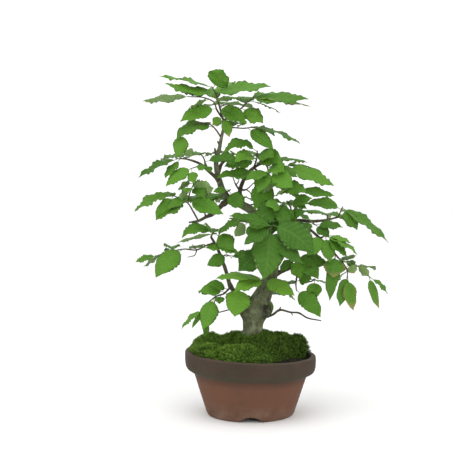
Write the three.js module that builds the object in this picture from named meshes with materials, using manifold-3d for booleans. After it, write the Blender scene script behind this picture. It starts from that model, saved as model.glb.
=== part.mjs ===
// A bonsai tree in a round unglazed pot with a dark rim band.
// Millimetres, +Z up. The pot stands on z = 0, the tree's front faces -Y, and the finished
// group is centred in X and Y on its own box.

import * as THREE from "three";
import { mergeVertices } from "three/addons/utils/BufferGeometryUtils.js";
import Module from "manifold-3d";

const wasm = await Module();
wasm.setup();

// ---------------------------------------------------------------- driving dimensions

const GAP = 0.3; // air left between neighbouring pieces

// Pot
const POT_HEIGHT = 85;
const RIM_RADIUS = 90; // outside of the rim band
const BAND_HEIGHT = 21; // straight part of the rim band
const BAND_CHAMFER = 8; // height of the band's lower slope
const BAND_STEP = 12; // how far the band stands out from the body
const LIP_WIDTH = 7.5;
const BODY_WALL = 6.5;
const FOOT_RADIUS = 60.5;
const FOOT_RING = 10; // width of the foot ring
const FOOT_DEPTH = 8; // height of the recess under the floor
const FLOOR_THICKNESS = 7;
const DRAIN_RADIUS = 12;
const ARCH_CHORD = 30; // three arches through the foot ring let water out
const ARCH_HEIGHT = 6.6;
const ARCH_COUNT = 3;
const RIM_LEAN = 0.041; // the hand-thrown rim dips towards +X
const POT_SEGMENTS = 36;

// What fills the pot
const SOIL_DROP = 11; // soil surface below the rim
const MESH_SIZE = 36;
const MESH_THICKNESS = 1;
const MESH_PITCH = 8;
const MESH_HOLE = 6;
const MESH_HOLES = 3; // holes along each side
const WIRE_RADIUS = 0.75;
const WIRE_REACH = 19; // how far each wire end bends out under the floor

// Tree. The growth tables below are drawn for these sizes at a factor of 1.
const CROWN_SPREAD = 1;
const CROWN_RISE = 1;
const WOOD_GIRTH = 1;
const LEAF_BREADTH = 1;
const LEAF_THICKNESS = 0.9;
const STALK_RADIUS = 0.55;
const STALK_LENGTH = 6;
const MOSS_RISE = 1;

// ---------------------------------------------------------------- materials

const finish = (color, roughness, metalness = 0) =>
  new THREE.MeshStandardMaterial({ color, roughness, metalness });

const FIRED_CLAY = finish(0x6d4c3b, 0.8);
const DARK_SOIL = finish(0x33271d, 0.95);
const GREEN_MOSS = finish(0x4b6420, 0.95);
const GREY_BARK = finish(0x5c5848, 0.85);
const GREEN_LEAF = finish(0x4d8529, 0.5);
const BLACK_PLASTIC = finish(0x1d1e1f, 0.5);
const ALUMINIUM = finish(0x8f8b85, 0.4, 1);

// ---------------------------------------------------------------- growth tables
// A wood row is [x, y, z, radius] along the centre line. A leaf row is
// [place along the twig 0..1, tip x, tip y, tip z, width, lean, arch]: lean is the angle by
// which the upper face tips from the sky (0) towards the front (90), or away (below 0), and
// arch is how high the midrib bows up, as a share of the leaf's length.

const TRUNK_LINE = [
  [2, 0, 62, 20], [2, 0, 84, 17], [2, 0, 100, 15], [3, 0, 113, 13.6], [4, -1, 127, 13.4],
  [7, -2, 141, 15], [13, -3, 157, 13.8], [20, -2, 171, 11.4], [27, 0, 188, 9.7],
  [30, 2, 204, 9], [26, 4, 223, 8.1], [19, 5, 241, 7.2], [13, 4, 260, 6.5], [1, 2, 280, 5.8],
  [-14, 0, 289, 5.3], [-30, -2, 297, 5], [-38, -2, 307, 4.6], [-42, 0, 319, 4.2],
  [-46, 2, 334, 3.7], [-47, 2, 348, 3.2], [-43, 1, 363, 2.6], [-40, 0, 379, 2.2],
  [-37, 0, 394, 1.9], [-38, 0, 407, 1.6],
];

// Swellings round old cuts, and the hollows in them: [x, y, z, radius]
const BURLS = [[-8, -4, 141, 9.5], [21, -2, 144, 10]];
const BURL_HOLLOWS = [[-13, -11, 142, 5.5], [23, -10, 146, 5.5]];

const ROOTS = [
  [[2, 0, 78, 11], [-20, -12, 72, 7], [-40, -22, 60, 3.5], [-50, -28, 46, 1.6]],
  [[2, 0, 78, 11], [24, -12, 72, 7], [42, -20, 62, 3.6], [52, -26, 50, 1.6]],
  [[2, 0, 78, 11], [14, 24, 72, 7], [24, 42, 60, 3.4], [28, 50, 46, 1.6]],
  [[2, 0, 78, 11], [-16, 20, 71, 6.5], [-32, 36, 58, 3.2], [-38, 44, 44, 1.6]],
  [[2, 0, 74, 12], [4, -6, 58, 7], [8, -14, 42, 3.5], [10, -20, 30, 1.6]],
];

// Small wood of the trunk itself: two short stubs, and a dead twig low on the left
const STUBS = [
  [[-47, 2, 352, 1.6], [-49, -1, 365, 1.3]],
  [[-42, 1, 367, 1.4], [-45, -1, 375, 1.1]],
  [[-2, -3, 148, 1.8], [-16, -8, 147, 1], [-30, -11, 145, 0.9], [-46, -13, 141, 0.8]],
];

const BRANCHES = {
  branch_low_left: [
    [[4, -3, 156, 5.5], [-14, -9, 163, 3.6], [-27, -13, 177, 3], [-33, -15, 197, 2.5],
      [-40, -16, 217, 2.2], [-47, -16, 233, 1.9], [-54, -15, 245, 1.6]],
  ],
  branch_low_right: [
    [[29, 1, 190, 5], [43, 7, 196, 3], [55, 8, 202, 2.6], [57, 4, 214, 2.1],
      [60, -4, 226, 1.8], [62, -12, 238, 1.4]],
  ],
  branch_mid_right: [
    [[19, 4, 240, 5], [31, 0, 253, 3.2], [45, -6, 262, 2.8], [62, -9, 267, 2.4],
      [84, -9, 266, 2], [104, -8, 268, 1.6], [120, -7, 272, 1.2]],
    [[60, -9, 266, 2.3], [79, -18, 256, 2], [97, -25, 240, 1.8], [111, -28, 226, 1.4]],
  ],
  branch_mid_left: [
    [[-28, -2, 296, 4.4], [-40, -9, 287, 3.2], [-49, -13, 278, 2.6], [-61, -15, 272, 2.2],
      [-71, -16, 267, 1.9], [-84, -17, 265, 1]],
    [[-61, -15, 272, 1.3], [-63, -17, 281, 0.8]],
  ],
  branch_upper_left: [
    [[-43, 0, 321, 4], [-49, -5, 327, 2.6], [-57, -9, 334, 2.2], [-67, -12, 343, 1.9],
      [-78, -13, 348, 1.6], [-89, -14, 351, 1.2]],
    [[-62, -10, 339, 1.2], [-63, -11, 350, 1], [-68, -12, 358, 0.8]],
  ],
  branch_upper_right: [
    [[-13, 0, 288, 4.6], [-15, 5, 301, 3.2], [-13, 8, 313, 2.8], [-6, 9, 327, 2.4],
      [5, 8, 339, 2.1], [19, 5, 345, 1.8], [34, 1, 343, 1.5], [45, -3, 339, 1.2]],
    [[-14, 6, 307, 1.6], [-20, 0, 315, 1], [-25, -6, 328, 0.7]],
    [[-14, 6, 308, 1.5], [-6, 0, 309, 1], [4, -5, 318, 0.7]],
    [[-6, 0, 309, 0.9], [0, -3, 304, 0.8], [1, -5, 298, 0.6]],
    [[-20, 0, 315, 0.9], [-16, -4, 322, 0.7], [-21, -7, 333, 0.6]],
  ],
};

// A leafless shoot that died back
const DEAD_TWIGS = {
  dead_twig_right: [
    [[18, 0, 133, 2.4], [30, -3, 137, 1.6], [40, -5, 144, 1.5], [55, -6, 141, 1.3],
      [66, -5, 140, 1.2], [78, -4, 133, 1.1], [97, -3, 129, 0.8]],
    [[39, -5, 143, 1.2], [41, -7, 148, 0.9]],
    [[55, -6, 141, 0.9], [58, -8, 137, 0.6]],
  ],
};

// A spray's first shoot grows from the trunk or a branch, and each later one from an earlier one.
const SPRAYS = {
  spray_apex_left: [{
    twig: [[-38, 0, 405, 1.5], [-46, -8, 417, 1.2], [-50, -14, 427, 1], [-64, -18, 433, 0.9],
      [-82, -20, 434, 0.7]],
    leaves: [
      [1, -145, -34, 427, 27, -16, 0.03], [0.62, -84, -34, 417, 20, -30, 0.05],
      [0.28, -95, -30, 400, 22, 62, 0.08], [0.5, -8, -46, 429, 26, -12, 0.1],
      [0.78, -92, 12, 441, 18, 14, 0.05],
    ],
  }],
  spray_apex_top: [{
    twig: [[-38, 0, 405, 1.5], [-43, 2, 424, 1.2], [-47, 0, 438, 1], [-52, -4, 447, 0.8]],
    leaves: [
      [1, -125, -20, 460, 27, 9, 0.04], [0.85, -115, -38, 450, 25, 34, -0.03],
      [0.95, -37, -20, 470, 30, 80, 0.02], [0.78, 27, -24, 446, 30, 34, 0.02],
      [0.6, -20, 44, 456, 24, 20, 0.12], [0.45, -70, 50, 444, 24, 10, 0.1],
      [0.28, -6, -34, 397, 23, 66, 0.04],
    ],
  }, {
    twig: [[-42, 2, 422, 1.2], [-37, 22, 424, 1], [-32, 42, 427, 0.8]],
    leaves: [
      [1, -24, 79, 424, 24, 6, 0.1], [0.7, 12, 65, 414, 25, 19, 0.1],
      [0.75, -76, 64, 414, 22, 16, 0.1],
    ],
  }],
  spray_apex_right: [{
    twig: [[-37, 0, 403, 1.5], [-24, -6, 410, 1.2], [-13, -10, 419, 1], [-4, -14, 428, 0.8],
      [2, -16, 432, 0.7]],
    leaves: [
      [1, 80, -26, 420, 27, -9, 0.05], [0.96, 76, -44, 429, 26, 36, 0.03],
      [0.8, 40, -30, 411, 20, 1, 0.06], [0.5, 16, -30, 398, 24, 62, 0.06],
      [0.62, -6, 40, 436, 22, 14, 0.08], [0.9, 48, 26, 436, 25, 9, 0.08],
    ],
  }, {
    twig: [[-25, -6, 410, 1], [-31, -12, 411, 0.9], [-37, -15, 408, 0.7]],
    leaves: [[0.9, -29, -20, 380, 15, 82, 0], [1, -52, -22, 396, 13, 80, 0.04]],
  }],
  spray_top_left: [{
    twig: [[-41, 0, 381, 1.2], [-48, -6, 391, 1], [-55, -10, 397, 0.9], [-72, -16, 398, 0.8],
      [-90, -20, 386, 0.7]],
    leaves: [
      [0.3, -100, -28, 375, 24, 34, 0.22], [1, -99, -30, 353, 20, 80, 0.02],
      [0.6, -70, 30, 394, 20, 12, 0.1],
    ],
  }],
  spray_top_right: [{
    twig: [[-38, 0, 392, 1.2], [-24, -6, 393, 1], [-10, -10, 392, 0.9], [6, -13, 394, 0.7]],
    leaves: [
      [0.78, 30, -26, 363, 19, 74, 0.03], [1, 66, -30, 370, 27, 3, 0.07],
      [0.45, -6, -34, 398, 13, 39, 0.05], [0.85, 34, 34, 381, 24, 12, 0.06], [0.3, -10, 44, 396, 22, 11, 0.1],
    ],
  }],
  spray_upper_left_end: [{
    twig: [[-88, -14, 350.6, 1.1], [-93, -15, 351, 0.9], [-98, -16, 351, 0.7]],
    leaves: [
      [1, -151, -30, 325, 25, 6, 0.04], [0.7, -115, -34, 325, 16, 3, 0.05],
      [0.2, -79, -28, 365, 13, -60, 0], [0.4, -120, 32, 346, 23, 14, 0.1],
    ],
  }, {
    twig: [[-93, -15, 351, 0.9], [-89, 4, 352, 0.8], [-84, 24, 353, 0.7]],
    leaves: [
      [1, -104, 64, 350, 22, 10, 0.1], [0.9, -54, 61, 354, 22, 12, 0.1],
      [0.6, -126, 46, 346, 23, 13, 0.1],
    ],
  }],
  spray_upper_left_front: [{
    twig: [[-57, -9, 334, 1.3], [-60, -18, 342, 1], [-62, -24, 347, 0.8]],
    leaves: [
      [1, -9, -38, 341, 23, 35, 0.1], [0.6, -54, -36, 333, 12, 2, 0],
      [0.8, -70, -42, 335, 11, 55, 0],
    ],
  }, {
    twig: [[-60, -18, 342, 1], [-70, -21, 341, 0.9], [-80, -22, 338, 0.7]],
    leaves: [[0.9, -114, -36, 314, 19, 52, 0.08], [1, -76, -34, 318, 15, 76, 0]],
  }],
  spray_upper_right_arch: [{
    twig: [[4, 8, 338, 1.4], [8, 0, 350, 1.1], [9, -6, 360, 0.8]],
    leaves: [
      [1, -37, -24, 357, 21, 41, 0.24], [0.7, 42, -30, 346, 28, 62, 0.06],
      [0.4, -36, -20, 340, 21, 45, 0.06],
      [0.85, 30, -40, 353, 22, 66, 0.06], [0.55, -22, -44, 346, 22, 48, 0.1],
    ],
  }],
  spray_upper_right_end: [{
    twig: [[44, -3, 339, 0.9], [47, -6, 340, 0.8], [50, -10, 340, 0.7]],
    leaves: [
      [1, 111, -34, 314, 25, 42, 0.02], [0.8, 66, 8, 348, 12, 1, 0.02],
      [0.7, 100, 38, 330, 27, 14, 0.1],
    ],
  }],
  spray_upper_right_front: [{
    twig: [[19, 5, 345, 1.4], [22, -12, 340, 1.1], [24, -26, 333, 0.9]],
    leaves: [
      [1, 55, -48, 313, 26, 70, 0.06], [0.9, -8, -54, 322, 20, 40, 0.04],
      [0.6, 44, -44, 333, 24, 60, 0.1],
      [0.75, 8, -52, 306, 22, 76, 0.04], [0.4, 62, -36, 326, 20, 50, 0.08],
    ],
  }],
  spray_upper_right_low: [{
    twig: [[5, 8, 338, 1.5], [16, 0, 328, 1.2], [28, -8, 320, 1], [44, -14, 313, 0.9],
      [60, -18, 309, 0.8], [78, -20, 307, 0.7]],
    leaves: [
      [0.85, 112, -28, 301, 17, 45, 0.04], [0.5, 74, -38, 306, 24, 52, 0.04],
      [0.8, 61, -30, 297, 12, -40, 0], [0.5, 14, -30, 306, 14, -50, 0.04],
      [0.35, 4, -30, 283, 30, 80, 0], [0.25, -46, -34, 325, 27, 20, 0.06],
      [0.7, 72, 24, 312, 20, 14, 0.1], [0.3, 33, -44, 317, 20, 30, 0.05],
      [0.75, 30, -36, 300, 18, -40, 0.05],
    ],
  }],
  spray_upper_right_back: [{
    twig: [[33, 1, 343, 1.3], [36, 20, 347, 1], [38, 38, 349, 0.8]],
    leaves: [
      [1, 44, 79, 346, 24, 8, 0.1], [0.75, 82, 61, 344, 22, 12, 0.1],
      [0.8, -6, 64, 350, 22, 14, 0.1], [0.4, 4, 34, 356, 20, 20, 0.1], [0.95, 10, 74, 340, 22, 12, 0.1],
    ],
  }],
  spray_mid_left_outer: [{
    twig: [[-71, -16, 267, 1.3], [-78, -18, 280, 1.1], [-85, -20, 291, 1], [-97, -22, 298, 0.9],
      [-107, -23, 303, 0.7]],
    leaves: [
      [1, -156, -36, 280, 26, 36, 0.08], [0.92, -127, -40, 269, 17, 66, 0.02],
      [0.55, -126, -46, 270, 22, 17, 0.04], [0.8, -140, 14, 296, 23, 14, 0.1],
    ],
  }, {
    twig: [[-85, -20, 291, 1], [-83, -19, 303, 0.9], [-77, -18, 318, 0.7]],
    leaves: [
      [1, -98, -30, 309, 17, -45, 0.12], [0.6, -96, -34, 298, 16, -60, 0.04],
      [0.7, -50, -36, 312, 26, -60, 0.04], [0.12, -37, -42, 277, 23, 66, 0.05],
      [0.9, -62, -40, 298, 18, 50, 0.06], [0.4, -112, -40, 284, 16, 50, 0.06],
      [0.8, -84, -46, 306, 20, -50, 0.06],
    ],
  }],
  spray_mid_left_inner: [{
    twig: [[-34, -2, 303, 1.6], [-31, -12, 307, 1.1], [-28, -18, 309, 0.9]],
    leaves: [[1, -51, -26, 306, 11, 46, 0.05], [0.7, -12, -28, 284, 23, 80, 0]],
  }],
  spray_mid_left_back: [{
    twig: [[-50, -13, 277.5, 1.4], [-58, 6, 284, 1.1], [-64, 26, 290, 0.9], [-70, 44, 294, 0.8]],
    leaves: [
      [1, -90, 78, 292, 24, 8, 0.1], [0.8, -112, 42, 290, 22, 14, 0.1],
      [0.75, -34, 61, 300, 22, 16, 0.1], [0.5, -92, 10, 296, 18, 20, 0.1], [0.95, -44, 74, 298, 22, 10, 0.1],
    ],
  }],
  spray_low_left_top: [{
    twig: [[-54, -15, 244.6, 1.4], [-52, -18, 249, 1], [-48, -20, 250, 0.8]],
    leaves: [
      [0.6, -93, -32, 244, 19, 48, 0.26], [1, -23, -34, 228, 24, 80, 0.04],
      [0.9, -60, 26, 252, 20, 6, 0.08], [0.8, -60, -46, 262, 18, 50, 0.1],
      [0.9, -100, -36, 238, 14, -30, 0.03],
    ],
  }],
  spray_low_left_outer: [{
    twig: [[-49, -16, 237.5, 1.4], [-60, -19, 234, 1.1], [-73, -21, 228, 1], [-90, -20, 229, 0.9],
      [-110, -16, 225, 0.8], [-126, -14, 220, 0.7]],
    leaves: [
      [0.62, -127, -46, 193, 26, 66, 0.08], [1, -156, -24, 211, 14, 23, 0.04],
      [0.93, -145, -30, 205, 14, -35, 0.04], [0.3, -15, -36, 221, 23, 24, 0.08],
      [0.75, -112, 36, 224, 22, 14, 0.1], [0.45, -70, 30, 226, 22, -9, 0.1], [0.9, -96, 26, 214, 20, 16, 0.1],
    ],
  }, {
    twig: [[-73, -21, 228, 0.8], [-76, -24, 221, 0.7], [-83, -25, 219, 0.6]],
    leaves: [],
  }, {
    twig: [[-73, -21, 228, 0.7], [-78, -23, 234, 0.6]],
    leaves: [],
  }],
  spray_low_left_dark: [{
    twig: [[-40, -16, 217, 1.3], [-34, -20, 221, 1], [-29, -22, 220, 0.8]],
    leaves: [
      [0.9, -59, -34, 208, 17, 80, 0.02], [1, 12, -34, 214, 18, 41, 0.08],
    ],
  }],
  spray_low_left_hanging: [{
    twig: [[-27, -13, 177, 1.6], [-37, -19, 168, 1.2], [-47, -22, 165, 1], [-58, -24, 156, 0.9],
      [-64, -25, 148, 0.7]],
    leaves: [
      [0.55, -65, -38, 122, 23, 80, 0.02], [1, -94, -32, 121, 17, 6, 0.04],
      [0.95, -80, -22, 121, 7, 60, 0], [0.2, -70, -28, 172, 17, 60, 0.12],
      [0.5, -72, 26, 164, 23, 9, 0.1], [0.1, -58, -34, 184, 16, 60, 0.05],
      [0.35, -42, -34, 156, 14, 70, 0.04],
    ],
  }, {
    twig: [[-47, -22, 165, 0.9], [-52, -20, 148, 0.7], [-58, -18, 133, 0.6]],
    leaves: [[1, -62, -18, 107, 8, 70, 0]],
  }],
  spray_front_bright: [{
    twig: [[27, 0, 186, 2], [22, -16, 187, 1.2], [17, -26, 189, 0.9]],
    leaves: [
      [1, -47, -50, 192, 27, 18, 0.08], [0.9, -23, -60, 174, 24, 53, 0.08],
      [0.8, 57, -58, 170, 23, 36, 0.06], [0.5, 60, -30, 159, 21, -36, 0.06],
    ],
  }, {
    twig: [[20, -20, 188, 1], [6, -28, 186, 0.9], [-14, -29, 179, 0.8]],
    leaves: [[1, -22, -42, 140, 33, 84, 0]],
  }],
  spray_trunk_right: [{
    twig: [[22, 0, 160, 1.8], [26, 12, 162, 1.1], [27, 18, 160, 0.8]],
    leaves: [[1, 25, 14, 130, 12, 60, 0], [0.7, 46, 44, 158, 16, 20, 0.1]],
  }],
  spray_front_large: [{
    twig: [[26, 3, 224, 5.5], [22, -16, 236, 3], [21, -36, 247, 2.4], [24, -50, 255, 1.6],
      [28, -62, 264, 0.9]],
    leaves: [
      [0.85, 15, -78, 194, 42, 86, 0.02], [1, 81, -76, 228, 36, 68, 0.12],
      [0.95, -30, -72, 276, 25, 35, 0.06], [0.9, -10, -84, 240, 21, 43, 0.04],
      [0.7, 67, -80, 214, 22, 74, 0.04],
    ],
  }, {
    twig: [[22, -22, 239.5, 1.5], [16, -34, 236, 1.1], [12, -42, 228, 0.9]],
    leaves: [[1, -17, -52, 202, 30, 82, 0.02], [0.6, 1, -56, 228, 12, 60, 0.02]],
  }],
  spray_front_arch: [{
    twig: [[13, 4, 258, 2], [2, -14, 264, 1.2], [-8, -24, 266, 0.9]],
    leaves: [
      [1, -45, -32, 245, 18, 26, 0.2], [0.75, 7, -40, 238, 17, 62, 0.02],
      [0.5, -30, 12, 268, 18, 20, 0.08], [0.9, 24, -46, 262, 20, 60, 0.06],
      [0.8, -22, -34, 247, 17, -60, 0.02],
    ],
  }],
  spray_centre_dark: [{
    twig: [[40, -4, 259.5, 1.6], [42, -16, 272, 1.2], [42, -26, 288, 0.9]],
    leaves: [
      [1, 4, -44, 268, 30, 78, 0.06], [0.8, 56, -40, 270, 16, 80, 0.02],
      [0.9, 18, -50, 290, 18, 60, 0.08],
      [0.5, 72, -44, 281, 20, 60, 0.02], [0.4, 12, -30, 250, 22, 70, 0.05],
      [0.95, 44, -50, 262, 22, 66, 0.06],
    ],
  }],
  spray_mid_right_upper: [{
    twig: [[62, -9, 267, 1.5], [57, -8, 278, 1.1], [52, -6, 289, 0.8]],
    leaves: [
      [1, 76, -20, 283, 12, 46, 0.08], [0.6, 84, -22, 264, 15, 12, 0.06],
      [0.8, 66, 30, 290, 20, 14, 0.1], [0.5, 34, -32, 284, 16, 60, 0.06],
      [0.9, 82, -30, 298, 20, 52, 0.05],
    ],
  }],
  spray_mid_right_end: [{
    twig: [[119, -7, 271.6, 1], [122, -9, 279, 0.9], [124, -10, 284, 0.8]],
    leaves: [
      [1, 186, -22, 237, 27, 24, 0.07], [0.9, 143, -26, 255, 19, 72, 0.04],
      [0.8, 74, -20, 290, 18, 50, 0.1], [0.5, 158, 30, 268, 23, 16, 0.1],
    ],
  }],
  spray_mid_right_dark: [{
    twig: [[84, -9, 266, 1.4], [85, -18, 263, 1], [87, -22, 262, 0.8]],
    leaves: [
      [1, 123, -34, 259, 16, 50, 0.04], [0.5, 60, -46, 254, 18, 30, 0.08],
      [0.8, 104, -36, 246, 17, 60, 0.05],
    ],
  }],
  spray_mid_right_back: [{
    twig: [[104, -8, 268, 1.2], [106, 12, 272, 1], [106, 32, 273, 0.8]],
    leaves: [
      [1, 114, 74, 264, 22, 8, 0.1], [0.8, 150, 46, 262, 20, 14, 0.1],
      [0.85, 66, 58, 274, 22, 12, 0.1],
    ],
  }],
  spray_low_right_fine: [{
    twig: [[92, -23, 244, 1.3], [98, -30, 247, 1], [102, -34, 249, 0.8]],
    leaves: [
      [1, 133, -44, 239, 14, 14, 0.06], [0.7, 141, -52, 223, 22, 4, 0.12],
      [0.5, 74, -50, 222, 20, 70, 0.04], [0.9, 127, -44, 221, 20, 30, 0.05],
      [0.7, 104, -52, 214, 18, 70, 0.04],
    ],
  }],
  spray_low_right_end: [{
    twig: [[110, -28, 227, 1.3], [122, -28, 214, 1.1], [131, -30, 212, 0.9],
      [140, -30, 209, 0.8], [152, -30, 200, 0.7], [160, -30, 192, 0.6]],
    leaves: [
      [1, 183, -38, 170, 14, 12, 0.06], [0.96, 171, -44, 151, 11, 70, 0],
      [0.6, 158, -40, 194, 16, -50, 0.05], [0.7, 172, 14, 196, 22, 19, 0.08],
      [0.2, 127, -42, 214, 17, -60, 0.02], [0.35, 136, 18, 214, 20, -51, 0.1],
      [0.45, 138, -40, 198, 15, -60, 0.02],
    ],
  }, {
    twig: [[122, -28, 214, 1], [129, -28, 202, 0.9], [130, -31, 191, 0.7]],
    leaves: [
      [1, 137, -40, 148, 19, 76, 0], [0.8, 119, -36, 153, 17, 78, 0],
      [0.6, 112, 8, 172, 21, 31, 0.06], [0.4, 142, -22, 212, 13, 40, 0.06],
    ],
  }, {
    twig: [[113, -28, 224, 1], [113, -33, 224, 0.9], [113, -37, 223, 0.7]],
    leaves: [[1, 110, -44, 193, 29, 80, 0], [0.5, 106, -30, 160, 20, 76, 0.02]],
  }],
  spray_low_right_folded: [{
    twig: [[57, 4, 214, 1.5], [58, -8, 216, 1.1], [60, -16, 215, 0.9]],
    leaves: [
      [1, 104, -34, 206, 21, 62, 0.08], [0.8, 90, -40, 190, 23, 74, 0.1],
      [0.5, 40, -24, 198, 12, 60, 0.04], [0.9, 66, -36, 190, 20, 70, 0.06],
    ],
  }],
  spray_low_right_low: [{
    twig: [[55, 8, 201, 2.2], [64, 5, 190, 1.7], [75, 2, 184, 1.3], [83, -2, 183, 0.9],
      [87, -8, 187, 0.7]],
    leaves: [[1, 86, -20, 160, 22, 72, 0.02], [0.8, 104, 30, 176, 18, 20, 0.08]],
  }, {
    twig: [[64, 5, 190, 1.4], [62, -6, 181, 1.1], [62, -14, 173, 0.9]],
    leaves: [
      [1, 94, -28, 137, 26, 76, 0.04], [0.4, 82, -26, 189, 16, 70, 0.06],
      [0.6, 44, 28, 176, 18, 24, 0.08],
    ],
  }],
  spray_back_low: [{
    twig: [[28, 1, 194, 5.5], [33, 24, 204, 3.2], [32, 50, 213, 2.4], [24, 71, 220, 1.5],
      [22, 78, 222, 0.9]],
    leaves: [
      [1, 6, 103, 212, 24, 4, 0.1], [0.9, 58, 95, 214, 22, 10, 0.1],
      [0.7, 70, 67, 218, 22, 14, 0.1],
    ],
  }, {
    twig: [[33, 26, 204.5, 1.6], [22, 40, 210, 1.2], [8, 54, 214, 0.9]],
    leaves: [
      [1, -28, 68, 208, 24, 14, 0.1], [0.7, 4, 82, 208, 22, 10, 0.1],
      [0.6, -18, 34, 218, 20, 22, 0.1],
    ],
  }],
  spray_back_middle: [{
    twig: [[11, 4, 262, 4.6], [2, 26, 274, 3], [-10, 52, 285, 2.2], [-24, 72, 293, 1.4],
      [-28, 79, 295, 0.8]],
    leaves: [
      [1, -48, 104, 286, 24, 4, 0.1], [0.9, 8, 100, 288, 22, 8, 0.1],
      [0.7, -72, 77, 290, 22, 12, 0.1],
    ],
  }, {
    twig: [[-8, 48, 283.4, 1.5], [6, 60, 286, 1.1], [20, 66, 287, 0.9]],
    leaves: [
      [1, 62, 79, 280, 24, 10, 0.1], [0.75, 26, 94, 282, 22, 8, 0.1],
      [0.5, 44, 46, 288, 20, 20, 0.1],
    ],
  }],
  spray_back_upper: [{
    twig: [[-45, 1, 330, 3.4], [-40, 22, 343, 2.3], [-31, 46, 351, 1.8], [-24, 65, 356, 1.2],
      [-22, 73, 357, 0.8]],
    leaves: [
      [1, -12, 98, 350, 24, 4, 0.1], [0.85, -66, 86, 352, 22, 10, 0.1],
      [0.7, 26, 74, 352, 22, 12, 0.1],
    ],
  }],
};

// Moss cushions: centre x, y, half sizes along x, y, height above the soil, turn in degrees
const MOSS_CUSHIONS = {
  moss_collar: [9, 2, 45, 40, 42, 0],
  moss_left: [-48, 10, 43, 52, 30, 8],
  moss_right: [42, 27, 34, 28, 36, -6],
  moss_front: [-16, -47, 44, 34, 27, 0],
  moss_front_left: [-58, -36, 32, 34, 25, 30],
  moss_back: [-4, 52, 60, 38, 29, 0],
  moss_rim_tuft: [67, 38, 20, 22, 31, 10],
};

// ---------------------------------------------------------------- solids and shapes

function solid(geometry) {
  geometry.deleteAttribute("normal");
  geometry.deleteAttribute("uv");
  const merged = mergeVertices(geometry, 1e-4);
  return new wasm.Manifold(new wasm.Mesh({
    numProp: 3,
    vertProperties: Float32Array.from(merged.attributes.position.array),
    triVerts: Uint32Array.from(merged.index.array),
  }));
}

function largestPiece(body) {
  const pieces = body.decompose();
  return pieces.reduce((a, b) => (b.volume() > a.volume() ? b : a));
}

function mesh(name, body, material) {
  const { vertProperties, triVerts } = body.getMesh();
  const geometry = new THREE.BufferGeometry();
  geometry.setAttribute("position", new THREE.BufferAttribute(Float32Array.from(vertProperties), 3));
  geometry.setIndex(new THREE.BufferAttribute(Uint32Array.from(triVerts), 1));
  geometry.computeVertexNormals();
  const piece = new THREE.Mesh(geometry, material);
  piece.name = name;
  return piece;
}

// Skins a row of rings that all have as many points, and closes both ends.
function loft(rings) {
  const sides = rings[0].length;
  const positions = rings.flat().flatMap((p) => [p.x, p.y, p.z]);
  const index = [];
  for (let i = 0; i + 1 < rings.length; i += 1) {
    for (let j = 0; j < sides; j += 1) {
      const a = i * sides + j;
      const b = i * sides + (j + 1) % sides;
      index.push(a, b, b + sides, a, b + sides, a + sides);
    }
  }
  const last = (rings.length - 1) * sides;
  for (let j = 1; j + 1 < sides; j += 1) {
    index.push(0, j + 1, j, last, last + j, last + j + 1);
  }
  const geometry = new THREE.BufferGeometry();
  geometry.setAttribute("position", new THREE.Float32BufferAttribute(positions, 3));
  geometry.setIndex(index);
  return geometry;
}

// The tree is drawn over a soil surface at this height; the tables scale about the trunk foot.
const SOIL_LEVEL = POT_HEIGHT - SOIL_DROP;
const DRAWN_SOIL_LEVEL = 74;

// Roots spread with the pot, and all that grows above the soil with the crown.
const DRAWN_POT_RADIUS = 55; // the pot's inner radius at its floor that the roots are drawn for

function rooted([x, y, z]) {
  const spread = INNER_FOOT_RADIUS / DRAWN_POT_RADIUS;
  return new THREE.Vector3(x * spread, y * spread, (SOIL_LEVEL * z) / DRAWN_SOIL_LEVEL);
}

function grown([x, y, z]) {
  const above = z - DRAWN_SOIL_LEVEL;
  const rise = above > 0 ? CROWN_RISE : SOIL_LEVEL / DRAWN_SOIL_LEVEL;
  return new THREE.Vector3(x * CROWN_SPREAD, y * CROWN_SPREAD, SOIL_LEVEL + above * rise);
}

// A tapering round stick along a smooth line through the rows.
function stick(rows, sides, stepsPerSpan, extra = 0, placed = grown) {
  const curve = new THREE.CatmullRomCurve3(rows.map(placed), false, "centripetal");
  const steps = (rows.length - 1) * stepsPerSpan;
  let across = new THREE.Vector3(0, 1, 0.2);
  const rings = [];
  for (let i = 0; i <= steps; i += 1) {
    const t = i / steps;
    const at = curve.getPoint(t);
    const along = curve.getTangent(t);
    across = across.clone().addScaledVector(along, -across.dot(along)).normalize();
    const over = new THREE.Vector3().crossVectors(along, across);
    const span = Math.min(Math.floor(t * (rows.length - 1)), rows.length - 2);
    const share = t * (rows.length - 1) - span;
    const radius = THREE.MathUtils.lerp(rows[span][3], rows[span + 1][3], share) * WOOD_GIRTH + extra;
    rings.push(Array.from({ length: sides }, (_, j) => {
      const angle = (2 * Math.PI * j) / sides;
      return at.clone()
        .addScaledVector(across, radius * Math.cos(angle))
        .addScaledVector(over, radius * Math.sin(angle));
    }));
  }
  return solid(loft(rings));
}

function sticks(lines, sides, stepsPerSpan, extra = 0, placed = grown) {
  return lines.map((rows) => stick(rows, sides, stepsPerSpan, extra, placed))
    .reduce((a, b) => a.add(b));
}

function ball([x, y, z, radius], extra = 0) {
  const geometry = new THREE.IcosahedronGeometry(radius * WOOD_GIRTH + extra, 1);
  return solid(geometry.translate(...grown([x, y, z]).toArray()));
}

// A lathe around Z from [radius, height] points, which close on themselves or on the axis.
function turned(profile, segments = POT_SEGMENTS) {
  const points = profile.map(([radius, height]) => new THREE.Vector2(radius, height));
  return solid(new THREE.LatheGeometry(points, segments).rotateX(Math.PI / 2));
}

// The pot's lean: heights shift with x, by more the higher the point stands.
function leaning(body) {
  return body.warp((p) => {
    p[2] -= RIM_LEAN * p[0] * Math.min(Math.max(p[2] / POT_HEIGHT, 0), 1);
  });
}

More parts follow.
